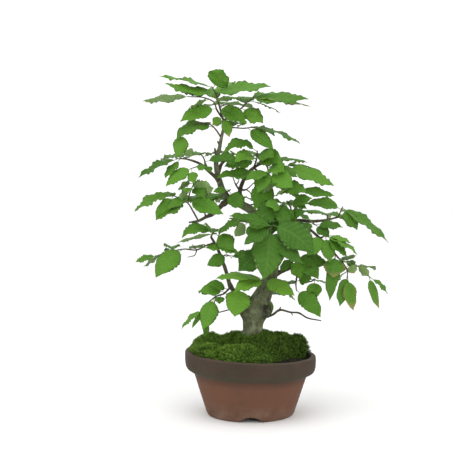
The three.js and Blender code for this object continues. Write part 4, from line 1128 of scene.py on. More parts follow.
@dataclass(frozen=True)
class BarkFinish:
    """Smooth grey-green bark with pale lichen, dark fissures and small raised pores."""

    age: Age
    ground: Colour = (0.112, 0.128, 0.060)
    shade: Colour = (0.020, 0.021, 0.011)
    lichen: Colour = (0.270, 0.300, 0.185)
    mossy: Colour = (0.070, 0.098, 0.028)
    patch_size: float = 55.0

    def made(self) -> bpy.types.Material:
        """Builds the material."""
        bench = Bench(self.age.value)
        place = bench.place()
        patches = bench.grain(place, self.patch_size, 5.0, 0.6)
        blotch = bench.grain(bench.stretched(place, (1.0, 1.0, 0.55)), self.patch_size * 3.1, 4.0, 0.65)
        fine = bench.grain(bench.stretched(place, (1.0, 1.0, 0.4)), 900.0, 3.0, 0.7)
        pores = bench.cells(bench.stretched(place, (0.6, 0.6, 1.6)), 330.0)
        colour = bench.blend(self.ground, self.lichen, patches.cut(3.4, 1.55))
        colour = bench.blend(colour, self.mossy, blotch.cut(3.2, 1.75) * 0.7)
        colour = bench.blend(colour, self.shade, (1.0 - (blotch * 4.6 - 1.35)).clamped() * 0.8)
        colour = bench.blend(colour, self.shade, (bench.value("deep") * (0.6 + blotch)).clamped() * 0.95)
        colour = bench.shaded(colour, fine * 0.7 + 0.65)
        relief = fine * 0.45 + blotch * 0.35 + pores.step(0.0, 0.25) * 0.2
        return bench.close(colour, 0.84, bench.bumped(relief, 0.0009), Specular_IOR_Level=0.25)


OLD_BARK = BarkFinish(Age.OLD)
YOUNG_BARK = BarkFinish(
    Age.YOUNG, ground=(0.082, 0.068, 0.042), lichen=(0.150, 0.142, 0.092), patch_size=130.0
)
DEAD_BARK = BarkFinish(
    Age.DEAD, ground=(0.074, 0.062, 0.042), lichen=(0.130, 0.118, 0.086), patch_size=130.0
)
TWIG_BARK = BarkFinish(
    Age.YOUNG, ground=(0.085, 0.062, 0.036), lichen=(0.120, 0.105, 0.070), patch_size=150.0
)


@dataclass(frozen=True)
class LeafFinish:
    """A broad leaf: pale feathered veins over green, lighter and yellower underneath, where the pale colour
    is partly painted light shining through the leaf.

    The piece's map runs across the blade in u, with the midrib at a half, and along it in v.
    """

    deep: Colour = (0.030, 0.100, 0.006)
    fresh: Colour = (0.084, 0.228, 0.017)
    lime: Colour = (0.155, 0.345, 0.026)
    under: Colour = (0.190, 0.300, 0.098)
    rib: Colour = (0.140, 0.270, 0.060)
    scorched: Colour = (0.420, 0.240, 0.110)

    def made(self) -> bpy.types.Material:
        """Builds the material."""
        bench = Bench("broad_leaf")
        surface = bench.node("ShaderNodeUVMap", {"uv_map": "surface"})
        u, v, _ = bench.split(surface)
        out = abs(u - 0.5) * 2.0
        tone, yellow = bench.value("tone"), bench.value("yellow")
        under, burnt = bench.value("under"), bench.value("burnt")
        place = bench.place()
        cloud = bench.grain(place, 95.0, 3.0)
        mottle = bench.grain(place, 520.0, 3.0, 0.6)
        web = bench.cells(place, 620.0, "DISTANCE_TO_EDGE")

        phase = (v - out * VEIN_SWEEP) * (SIDE_VEINS * 2.0 * math.pi)
        wave = phase.sine() * 0.5 + 0.5
        side = wave.cut(5.0, 4.1) * (1.0 - out.step(0.75, 1.0))
        middle = 1.0 - out.step(0.02, 0.10)
        veins = (side * 0.55 + middle).clamped()

        # tone: the spray's painted shade and light, with each leaf's own random spread
        colour = bench.blend(self.deep, self.fresh, (cloud * 0.6 + tone * 1.1 - 0.10).clamped())
        colour = bench.blend(colour, self.lime, (yellow * (0.75 + cloud * 0.5)).clamped())
        colour = bench.shaded(colour, 0.88 + wave * 0.06 + mottle * 0.18)
        colour = bench.blend(colour, self.rib, veins * 0.22)
        # the underside's pale colour: partly real, partly painted light shining through the leaf
        below = bench.blend(self.under, self.rib, veins * 0.5)
        below = bench.shaded(below, 0.82 + mottle * 0.2 + tone * 0.15)
        colour = bench.blend(colour, below, under.step(0.4, 0.6))
        rim = (v.step(0.62, 1.0) + out.step(0.7, 1.0) * 0.7) * (cloud * 1.6 - 0.2)
        colour = bench.blend(colour, self.scorched, (rim * burnt).clamped())

        relief = wave * 0.28 + web.step(0.0, 0.12) * 0.2 + (1.0 - middle) * 0.35
        normal = bench.bumped(relief, 0.0009, 0.7)
        return bench.close(colour, mottle * 0.12 + 0.50, normal, Specular_IOR_Level=0.22)


@dataclass(frozen=True)
class MouldedMeshFinish:
    """Black moulded plastic, dusted with soil."""

    plastic: Colour = (0.012, 0.012, 0.013)
    dusted: Colour = (0.075, 0.058, 0.042)

    def made(self) -> bpy.types.Material:
        """Builds the material."""
        bench = Bench("moulded_mesh")
        dust = bench.grain(bench.place(), 260.0, 4.0, 0.65)
        colour = bench.blend(self.plastic, self.dusted, dust.cut(2.4, 1.1))
        normal = bench.bumped(bench.grain(bench.place(), 1800.0, 2.0), 0.0002, 0.5)
        return bench.close(colour, dust * 0.3 + 0.4, normal)


@dataclass(frozen=True)
class WireFinish:
    """Soft aluminium wire, dulled by handling."""

    bright: Colour = (0.45, 0.44, 0.42)
    dulled: Colour = (0.20, 0.18, 0.16)

    def made(self) -> bpy.types.Material:
        """Builds the material."""
        bench = Bench("soft_wire")
        dull = bench.grain(bench.place(), 700.0, 4.0, 0.6)
        colour = bench.blend(self.bright, self.dulled, dull.cut(2.2, 0.8))
        normal = bench.bumped(bench.grain(bench.place(), 2600.0, 2.0), 0.0001, 0.5)
        return bench.close(colour, dull * 0.3 + 0.3, normal, Metallic=1.0)


@dataclass(frozen=True)
class FloorFinish:
    """The pale floor."""

    low: Colour = (0.90, 0.90, 0.895)
    high: Colour = (0.93, 0.93, 0.925)

    def made(self) -> bpy.types.Material:
        """Builds the material."""
        bench = Bench("pale_floor")
        soft = bench.grain(bench.place(), 3.0, 2.0)
        colour = bench.blend(self.low, self.high, soft)
        return bench.close(colour, 0.9, None)


# ---------------------------------------------------------------- the pot and what fills it


@dataclass
class ThrownPot:
    """The wheel-thrown pot: a turned profile, leaning a little, with three arches in its foot."""

    home: Array
    turns: int = 288
    bend_points: int = 6
    spacing: float = 2.2
    ripple: float = 0.14
    wobble: float = 0.35
    pimple_bearing: float = -103.5
    pimple_height: float = 19.0
    pimple_size: float = 1.5
    pimple_rise: float = 1.1

    def profile(self) -> tuple[Array, Array]:
        """The section, from the foot's inner edge up the outside, over the lip and down inside.

        Its corners are (radius, height, reach), and each is rounded over its reach to either side.

        Returns:
            (radius, height) points, shape (n, 2), and 1 for those that belong to the inside.
        """
        inner_top, inner_foot = BODY_TOP_RADIUS - BODY_WALL, FOOT_RADIUS - BODY_WALL + 1
        floor_top = FOOT_DEPTH + FLOOR_THICKNESS
        lip_corner = 9
        corners = [
            (FOOT_RADIUS - FOOT_RING, 0, 0.8), (FOOT_RADIUS - 2.2, 0, 1.6), (FOOT_RADIUS + 0.2, 3.2, 2.2),
            (BODY_TOP_RADIUS - 0.6, BODY_TOP - 1, 2.0), (BODY_TOP_RADIUS + 3.0, BODY_TOP + 2.2, 1.4),
            (RIM_RADIUS - 2.6, BAND_FOOT - 2.6, 2.4), (RIM_RADIUS - 0.6, BAND_FOOT + 2.0, 2.4),
            (RIM_RADIUS + 0.2, BAND_FOOT + 11, 3.0), (RIM_RADIUS - 0.2, POT_HEIGHT, 3.0),
            (LIP_RADIUS, POT_HEIGHT, 2.4), (LIP_RADIUS - 0.6, BAND_FOOT + 2, 2.0),
            (inner_top, BODY_TOP - 4, 2.0), (inner_foot, floor_top, 3.0), (DRAIN_RADIUS, floor_top, 0.6),
            (DRAIN_RADIUS, FOOT_DEPTH, 0.6), (FOOT_RADIUS - FOOT_RING, FOOT_DEPTH, 0.8),
        ]
        table = np.array(corners, float)
        here, before, after = table[:, :2], np.roll(table, 1, 0)[:, :2], np.roll(table, -1, 0)[:, :2]
        reach = table[:, 2:3]
        start = here + unit(before - here) * reach
        end = here + unit(after - here) * reach
        t = np.linspace(0.0, 1.0, self.bend_points)[None, :, None]
        # a corner is rounded by a quadratic bend: (1-t)^2 start + 2t(1-t) corner + t^2 end
        bends = (1 - t) ** 2 * start[:, None] + 2 * t * (1 - t) * here[:, None] + t**2 * end[:, None]
        loop = bends.reshape(-1, 2)
        closed = np.vstack([loop, loop[:1]])
        run = np.concatenate([[0.0], np.cumsum(np.linalg.norm(np.diff(closed, axis=0), axis=1))])
        extra = np.arange(0.0, run[-1], self.spacing)
        place = np.unique(np.round(np.concatenate([run[:-1], extra]), 3))
        place = place[np.concatenate([[True], np.diff(place) > 0.15])]
        points = np.stack([np.interp(place, run, closed[:, k]) for k in range(2)], axis=1)
        inner_from = run[self.bend_points * lip_corner + 2]
        return points, (place > inner_from).astype(float)

    def arch(self, across: Array) -> Array:
        """The height of a foot arch at a distance across from its middle: a circle's cap."""
        radius = (ARCH_CHORD**2 / 4 + ARCH_HEIGHT**2) / (2 * ARCH_HEIGHT)
        inside = np.sqrt(np.maximum(radius**2 - across**2, 0.0)) - (radius - ARCH_HEIGHT)
        fade = smooth(ARCH_CHORD / 2 + 0.5, ARCH_CHORD / 2 - 2.0, np.abs(across))
        return np.maximum(inside, 0.0) * fade

    def build(self) -> bpy.types.Object:
        """Makes the pot: the profile turned about Z, then arched, rippled and leant.

        Returns:
            The pot.
        """
        section, inside = self.profile()
        theta = round_turn(self.turns)[:, None]
        radius, z = (np.tile(section[:, k], (self.turns, 1)) for k in range(2))
        # each arch squeezes the foot ring upwards: z' = arch + z (1 - arch / recess height)
        for middle in ARCH_ANGLES:
            turn = from_bearing(theta, middle)
            near = (np.abs(turn) < 1.0) & (radius > FOOT_RADIUS - FOOT_RING - 1.0) & (z < FOOT_DEPTH)
            lift = np.where(near, self.arch(radius * np.sin(turn)), 0.0)
            z = np.where(near, lift + z * (1.0 - lift / FOOT_DEPTH), z)
        flat = np.stack([radius * np.cos(theta), radius * np.sin(theta), z], axis=-1)
        outer = (1.0 - inside)[None] * smooth(1.0, 6.0, z)
        # throwing lines: fine rings whose strength comes and goes, over a slow wobble of the wall
        strength = 0.6 + 0.6 * noise(flat, 34.0, 2)
        rings = np.sin(z * 2.05 + 0.6 * np.sin(theta + z * 0.05)) * strength * self.ripple
        rings += 0.5 * self.ripple * np.sin(z * 0.83 + theta)
        uneven = self.wobble * noise(flat, 46.0, 2) + 0.10 * noise(flat, 5.0, 2)
        radius = radius + outer * (rings + uneven)
        lip = smooth(POT_HEIGHT - 4.0, POT_HEIGHT, z)
        z = z + lip * (0.5 * noise(flat, 38.0, 2) + 0.12 * noise(flat, 7.0, 2))
        sideways = radius * from_bearing(theta, self.pimple_bearing)
        pimple = np.hypot(sideways, z - self.pimple_height) / self.pimple_size
        radius = radius + self.pimple_rise * np.exp(-(pimple**2)) * outer
        shell = leant(np.stack([radius * np.cos(theta), radius * np.sin(theta), z], axis=-1))
        quads = outward(shell, ring_quads(self.turns, len(section), closed=True))
        surface = Surface()
        surface.add(shell, quads, inside=np.tile(inside, self.turns))
        made = surface.piece("thrown_pot", [ClayFinish(tuple(self.home)).made()], self.home)
        return stands_for(made, "pot")


def scattered_disc(rng: np.random.Generator, count: int) -> tuple[Array, Array]:
    """Distances from 0 to 1 and angles of points that lie evenly over a disc."""
    return np.sqrt(rng.uniform(0.0, 1.0, count)), rng.uniform(0.0, 2.0 * np.pi, count)


def outward(points: Array, quads: Array) -> Array:
    """The same faces, turned round if together they enclose a negative volume."""
    p = points.reshape(-1, 3)
    a, b, c, d = (p[quads[:, k]] for k in range(4))
    volume = np.einsum("ij,ij->", a, np.cross(b, c)) + np.einsum("ij,ij->", a, np.cross(c, d))
    return quads if volume > 0 else quads[:, ::-1]


@dataclass
class MossBed:
    """Overlapping moss cushions: domes that swell from the soil, covered in feathery fronds."""

    home: Array
    fullness: float = 2.6
    room_for_one: float = 1.9
    lean_out: float = 0.55
    trunk_x: float = 2.5
    trunk_room: float = 14.0
    shortest: float = 3.4
    tallest: float = 7.2
    thinnest: float = 0.8
    hidden_below: float = 1.2

    def edge(self, cushion: Row, angle: Array) -> Array:
        """The wavering edge of a cushion: a share of its half size, at angles from its middle."""
        return 1 + 0.05 * np.sin(3 * angle + cushion[0]) + 0.04 * np.sin(5 * angle + cushion[1])

    def placed(
        self, cushion: Row, out: Array, angle: Array, edge: Array | float = 1.0
    ) -> tuple[Array, Array]:
        """Flat places at shares out of the way from a cushion's middle to its edge."""
        cx, cy, half_x, half_y, _, turn = cushion
        u, v = half_x * out * edge * np.cos(angle), half_y * out * edge * np.sin(angle)
        return turned(u, v, turn, cx, cy)

    def rise(self, cushion: Row, x: Array, y: Array) -> Array:
        """A cushion's height over the soil: height (1 - out^fullness), out from its middle to its edge.

        Args:
            cushion: centre x and y, half sizes, height and turn in degrees.
            x: where the height is wanted.
            y: where the height is wanted.

        Returns:
            The height, below nought outside the cushion.
        """
        cx, cy, half_x, half_y, height, turn = cushion
        u, v = turned(x - cx, y - cy, -turn)
        u, v = u / half_x, v / half_y
        out = np.hypot(u, v) / self.edge(cushion, np.arctan2(v, u))
        return height * (1.0 - out**self.fullness)

    def lumps(self, x: Array, y: Array) -> Array:
        """The small hummocks of the moss."""
        flat = np.stack([x, y, np.zeros_like(x)], axis=-1)
        return 2.6 * noise(flat, 19.0, 2) + 2.2 * noise(flat, 6.5, 2) - 1.0

    def top(self, x: Array, y: Array) -> Array:
        """The height of the whole bed over the soil."""
        return np.max([self.rise(c, x, y) for c in MOSS_CUSHIONS.values()], axis=0)

    def kept_in(self, points: Array) -> Array:
        """Points drawn back inside the lip below the rim, and to just within it above."""
        radius = np.hypot(points[..., 0], points[..., 1])
        rim = POT_HEIGHT - RIM_LEAN * points[..., 0]
        limit = np.where(points[..., 2] < rim + 0.5, LIP_RADIUS - 1.0, RIM_RADIUS - 5.0)
        share = np.minimum(1.0, limit / np.maximum(radius, 1e-6))
        return np.concatenate([points[..., :2] * share[..., None], points[..., 2:]], axis=-1)

    def mound(self, cushion: Row) -> Array:
        """A cushion's body as rings from its foot to its top."""
        out = np.concatenate([[0.98], np.linspace(0.99, 0.02, 22)])[:, None]
        angle = round_turn(64)[None]
        x, y = self.placed(cushion, out, angle, self.edge(cushion, angle))
        height = self.rise(cushion, x, y) + self.lumps(x, y) * smooth(1.0, 0.8, out) - 1.2
        height = np.maximum(height, 0.6)
        height[0] = 0.0
        return leant(self.kept_in(np.stack([x, y, SOIL_LEVEL + 0.2 + height], axis=-1)))

    def frond(self) -> tuple[Array, Array]:
        """One frond, a unit tall: a bowed stem and paired side leaflets, each a thin closed spike.

        Returns:
            Its points and its triangles.
        """
        feet, tips, girths = [(0, 0, 0)], [(0, 0.22, 1.0)], [0.075]
        for height, reach in ((0.22, 0.36), (0.40, 0.40), (0.58, 0.34), (0.76, 0.24)):
            for side in (-1, 1):
                feet.append((0, 0.22 * height**2, height))
                tips.append((side * reach, 0.22 * height**2 + 0.10, height + reach * 0.62))
                girths.append(0.062)
        foot, tip = np.array(feet, float), np.array(tips, float)
        girth = np.array(girths)[:, None]
        way = unit(tip - foot)
        across = unit(np.cross(way, np.array([0.3, 1.0, 0.1])))
        over = np.cross(way, across)
        thirds = (0.0, 2.094, 4.189)
        ring = [foot + girth * (math.cos(a) * across + math.sin(a) * over) for a in thirds]
        points = np.stack([*ring, tip], axis=1).reshape(-1, 3)
        faces = np.array([[0, 1, 3], [1, 2, 3], [2, 0, 3], [0, 2, 1]])
        start = (np.arange(len(foot)) * 4)[:, None, None]
        return points, (faces[None] + start).reshape(-1, 3)

    def fronds(self, cushion: Row, rng: np.random.Generator) -> tuple[Array, Array, Array, Array]:
        """Fronds scattered evenly over a cushion where no neighbour stands higher.

        Args:
            cushion: the cushion's row.
            rng: the seeded source of chance.

        Returns:
            All points, triangles, and at each point how far up its frond it is, lowered for fronds low on
            the cushion as painted shade, and the frond's tone.
        """
        count = int(np.pi * cushion[2] * cushion[3] / self.room_for_one)
        out, angle = scattered_disc(rng, count)
        x, y = self.placed(cushion, out, angle)
        rise = self.rise(cushion, x, y)
        z = rise + self.lumps(x, y) - 2.0
        span = 0.8
        slope_x = (self.rise(cushion, x + span, y) - self.rise(cushion, x - span, y)) / (2 * span)
        slope_y = (self.rise(cushion, x, y + span) - self.rise(cushion, x, y - span)) / (2 * span)
        at = self.kept_in(np.stack([x, y, SOIL_LEVEL + z], axis=-1))
        clear = np.hypot(at[:, 0] - self.trunk_x, at[:, 1]) >= self.trunk_room
        keep = (rise > self.thinnest) & (rise > self.top(x, y) - self.hidden_below) & clear
        at = leant(at[keep])
        count = len(at)
        normal = unit(np.stack([-slope_x, -slope_y, np.ones_like(x)], axis=-1))[keep]
        stray = rng.normal(0.0, self.lean_out, (count, 3))
        up = unit(normal + stray * [1.0, 1.0, 0.4] + [0.0, 0.0, 0.35])
        side = unit(np.cross(up, rng.normal(0.0, 1.0, (count, 3))))
        tall = rng.uniform(self.shortest, self.tallest, count) * (0.72 + 0.28 * smooth(0.0, 8.0, rise[keep]))
        wide = tall * rng.uniform(0.75, 1.05, count)
        tall, wide = tall[:, None], wide[:, None]
        frames = np.stack([side * wide, np.cross(up, side) * tall, up * tall], axis=-1)
        template, faces = self.frond()
        points, triangles = scattered(template, faces, frames, at)
        height = np.tile(np.clip(template[:, 2], 0.0, 1.0), count)
        # fronds low on the cushion are darkened: painted shade
        depth = np.repeat(smooth(0.0, 9.0, rise[keep] + 2.0), len(template))
        tone = np.repeat(rng.uniform(0.0, 1.0, count), len(template))
        return points, triangles, height * (0.35 + 0.65 * depth), tone

    def build(self) -> list[bpy.types.Object]:
        """Makes one piece for each cushion.

        Returns:
            The pieces.
        """
        finish = MossFinish().made()
        made = []
        for index, (node, cushion) in enumerate(MOSS_CUSHIONS.items()):
            surface = Surface()
            surface.skin(self.mound(cushion), rise=0.34, tone=0.3)
            rng = np.random.default_rng(SEED + index)
            points, triangles, rise, tone = self.fronds(cushion, rng)
            surface.add(points, triangles=triangles, rise=rise, tone=tone)
            piece = surface.piece(f"{node}_fronds", [finish], self.home)
            made.append(stands_for(piece, node))
        return made


@dataclass
class SoilBed:
    """The soil: a rough fill up to a little under the lip, with loose grains on it."""

    home: Array
    grains: int = 2600
    sides: int = 200
    heaped: float = 4.5
    heap_x: float = 58.0
    heap_y: float = -22.0
    heap_reach: float = 26.0
    most_moss: float = 5.0
    tries: int = 4
    edge_room: float = 2.2

    def heap(self, x: Array, y: Array) -> Array:
        """How much higher the soil lies beside the bare stretch of the lip."""
        away = (x - self.heap_x) ** 2 + (y - self.heap_y) ** 2
        return self.heaped * np.exp(-away / self.heap_reach**2)

    def fill(self) -> Array:
        """The fill as rings: out along the bottom, up the wall and in over the uneven top."""
        inner_foot = FOOT_RADIUS - BODY_WALL + 0.6
        floor = FOOT_DEPTH + FLOOR_THICKNESS + 0.4
        wall = [
            (26, floor + 1.4), (27, floor), (inner_foot, floor),
            (BODY_TOP_RADIUS - BODY_WALL - 0.4, BODY_TOP - 4), (LIP_RADIUS - 1.0, BAND_FOOT + 2),
            (LIP_RADIUS - 0.9, SOIL_LEVEL - 0.6),
        ]
        top = [(radius, SOIL_LEVEL) for radius in np.linspace(LIP_RADIUS - 1.4, 0.5, 60)]
        section = np.array([(0.5, floor + 1.4), *wall, *top], float)
        angle = round_turn(self.sides)[None]
        radius, z = section[:, :1], np.tile(section[:, 1:], (1, self.sides))
        x, y = radius * np.cos(angle), radius * np.sin(angle)
        flat = np.stack([x, y, np.zeros_like(x)], axis=-1)
        uneven = 0.9 * noise(flat, 14.0, 2) + 0.55 * noise(flat, 2.6, 2) + self.heap(x, y)
        z[len(wall) + 1 :] += uneven[len(wall) + 1 :]
        return leant(np.stack([x, y, z], axis=-1))

    def build(self, moss: MossBed) -> bpy.types.Object:
        """Makes the soil, with its grains where no moss covers it.

        Args:
            moss: the bed that lies over it.

        Returns:
            The piece.
        """
        rng = np.random.default_rng(SEED)
        surface = Surface()
        surface.skin(self.fill(), tone=0.4)
        out, angle = scattered_disc(rng, self.grains * self.tries)
        radius = (LIP_RADIUS - self.edge_room) * out
        x, y = radius * np.cos(angle), radius * np.sin(angle)
        bare = np.flatnonzero(moss.top(x, y) < self.most_moss)[: self.grains]
        level = SOIL_LEVEL + 0.5 + self.heap(x, y) - RIM_LEAN * x * SOIL_LEVEL / POT_HEIGHT
        at = np.stack([x, y, level], axis=-1)[bare]
        size = rng.uniform(0.5, 1.7, len(at)) ** 1.3
        turn = np.linalg.qr(rng.normal(0.0, 1.0, (len(at), 3, 3)))[0]
        turn *= np.sign(np.linalg.det(turn))[:, None, None]
        stretch = size[:, None] * rng.uniform(0.7, 1.25, (len(at), 3))
        golden = (1 + math.sqrt(5)) / 2
        corners = np.array([
            (-1, golden, 0), (1, golden, 0), (-1, -golden, 0), (1, -golden, 0),
            (0, -1, golden), (0, 1, golden), (0, -1, -golden), (0, 1, -golden),
            (golden, 0, -1), (golden, 0, 1), (-golden, 0, -1), (-golden, 0, 1),
        ], float)
        faces = np.array([
            (0, 11, 5), (0, 5, 1), (0, 1, 7), (0, 7, 10), (0, 10, 11), (1, 5, 9), (5, 11, 4),
            (11, 10, 2), (10, 7, 6), (7, 1, 8), (3, 9, 4), (3, 4, 2), (3, 2, 6), (3, 6, 8),
            (3, 8, 9), (4, 9, 5), (2, 4, 11), (6, 2, 10), (8, 6, 7), (9, 8, 1),
        ])
        template = unit(corners) * (1 + 0.18 * noise(corners, 0.7, 2))[:, None]
        points, triangles = scattered(template, faces, turn * stretch[:, None, :], at)
        tone = np.repeat(rng.uniform(0.0, 1.0, len(at)), len(template))
        surface.add(points, triangles=triangles, tone=tone)
        made = surface.piece("soil_bed", [SoilFinish().made()], self.home)
        return stands_for(made, "soil")


# ---------------------------------------------------------------- wood


@dataclass
class Wood:
    """The trunk with its old cuts, and the branches that leave it."""

    home: Array
    sides: int = 72
    hollow_depth: float = 6.5
    flare_level: float = 84.0
    flare_reach: float = 22.0
    bud_swell: float = 0.55

    def trunk(self, old: bpy.types.Material, young: bpy.types.Material) -> bpy.types.Object:
        """Makes the trunk: a tapering sweep, swollen at the old cuts and hollowed beside them.

        Args:
            old: the finish of the trunk itself.
            young: the finish of its small wood.

        Returns:
            The piece.
        """
        rings = tube(TRUNK_LINE, 9, self.sides)
        line, radius = flow(TRUNK_LINE, 9)
        out = unit(rings - line[:, None])
        girth = radius[:, None]
        swell = 0.055 * girth * noise(rings, 21.0, 3) + 0.035 * girth * noise(rings, 5.0, 3)
        for x, y, z, size in BURLS:
            away = np.linalg.norm(rings - np.array([x, y, z]), axis=-1)
            swell = swell + 0.85 * size * np.exp(-((away / size) ** 2))
            swell = swell + 1.7 * noise(rings, 4.2, 3) * np.exp(-((away / (1.35 * size)) ** 2))
        hollow = np.zeros(rings.shape[:2])
        for x, y, z, size in BURL_HOLLOWS:
            away = np.linalg.norm((rings - np.array([x, y, z])) * [1.0, 1.0, 0.6], axis=-1)
            hollow = np.maximum(hollow, np.exp(-((away / (1.15 * size)) ** 2)))
        shade = hollow**0.3 * np.clip(0.7 + 2.0 * noise(rings, 5.0, 3), 0.0, 1.0)
        hollow = hollow * np.clip(0.75 + 1.3 * noise(rings, 6.0, 2), 0.0, 1.3)
        swell = swell - self.hollow_depth * hollow
        # the foot flares into a few buttresses: a wave of the angle that fades above the soil
        angle = round_turn(self.sides)[None]
        flare = np.exp(-(((rings[..., 2] - self.flare_level) / self.flare_reach) ** 2))
        swell = swell + flare * (1.8 + 1.6 * np.cos(4 * angle + 0.8) + 0.9 * np.cos(7 * angle))
        surface = Surface()
        surface.skin(rings + out * swell[..., None], deep=np.clip(1.5 * shade - 0.15, 0.0, 1.0))
        for rows in ROOTS:
            surface.skin(tube(rows, 5, 14, 0.12), deep=0.2)
        for rows in STUBS:
            surface.skin(tube(rows, 6, 9, 0.3, 3.0), slot=1, deep=0.1)
        return stands_for(surface.piece("trunk_wood", [old, young], self.home), "trunk")

    def branch(self, node: str, lines: list[list[Row]], finish: bpy.types.Material) -> bpy.types.Object:
        """Makes a branch and its side shoots.

        Args:
            node: the CAD node it stands for.
            lines: its rows, the main line first.
            finish: its bark.

        Returns:
            The piece.
        """
        surface = Surface()
        for rows in lines:
            rings = tube(rows, 7, 14, 0.16, 7.0)
            line, radius = flow(rows, 7)
            out = unit(rings - line[:, None])
            # buds and old leaf scars: short swellings along the wood
            knot = np.maximum(noise(line, 4.5, 1), 0.0) ** 2
            rings = rings + out * (radius * self.bud_swell * knot)[:, None, None]
            surface.skin(rings, deep=0.25 * knot[:, None])
        return stands_for(surface.piece(f"{node}_wood", [finish], self.home), node)

    def build(self) -> list[bpy.types.Object]:
        """Makes the trunk and every branch.

        Returns:
            The pieces.
        """
        old, young, dead = (bark.made() for bark in (OLD_BARK, YOUNG_BARK, DEAD_BARK))
        return [self.trunk(old, young)] + [
            self.branch(node, lines, dead if node.startswith("dead") else young)
            for node, lines in BRANCHES.items()
        ]


# ---------------------------------------------------------------- leaves


@dataclass(frozen=True)
class Tint:
    """How a spray's leaves are coloured: tone from dark to light, set per spray as painted shade and light,
    yellow, and share scorched.
    """

    tone: float = 0.5
    yellow: float = 0.12
    burnt: float = 0.0


# tone here is painted shade and light: sprays that sit shaded in the crown are set dark, lit ones light
TINTS = {
    "spray_front_bright": Tint(tone=0.95, yellow=0.55),
    "spray_centre_dark": Tint(tone=0.15, yellow=0.0),
    "spray_front_large": Tint(tone=0.0, yellow=0.0),
    "spray_mid_right_dark": Tint(tone=0.1, yellow=0.0),
    "spray_low_right_end": Tint(tone=0.3, yellow=0.08, burnt=1.0),
    "spray_apex_right": Tint(tone=0.5, yellow=0.2, burnt=0.7),
    "spray_apex_left": Tint(tone=0.6, yellow=0.25),
    "spray_apex_top": Tint(tone=0.6, yellow=0.2),
}


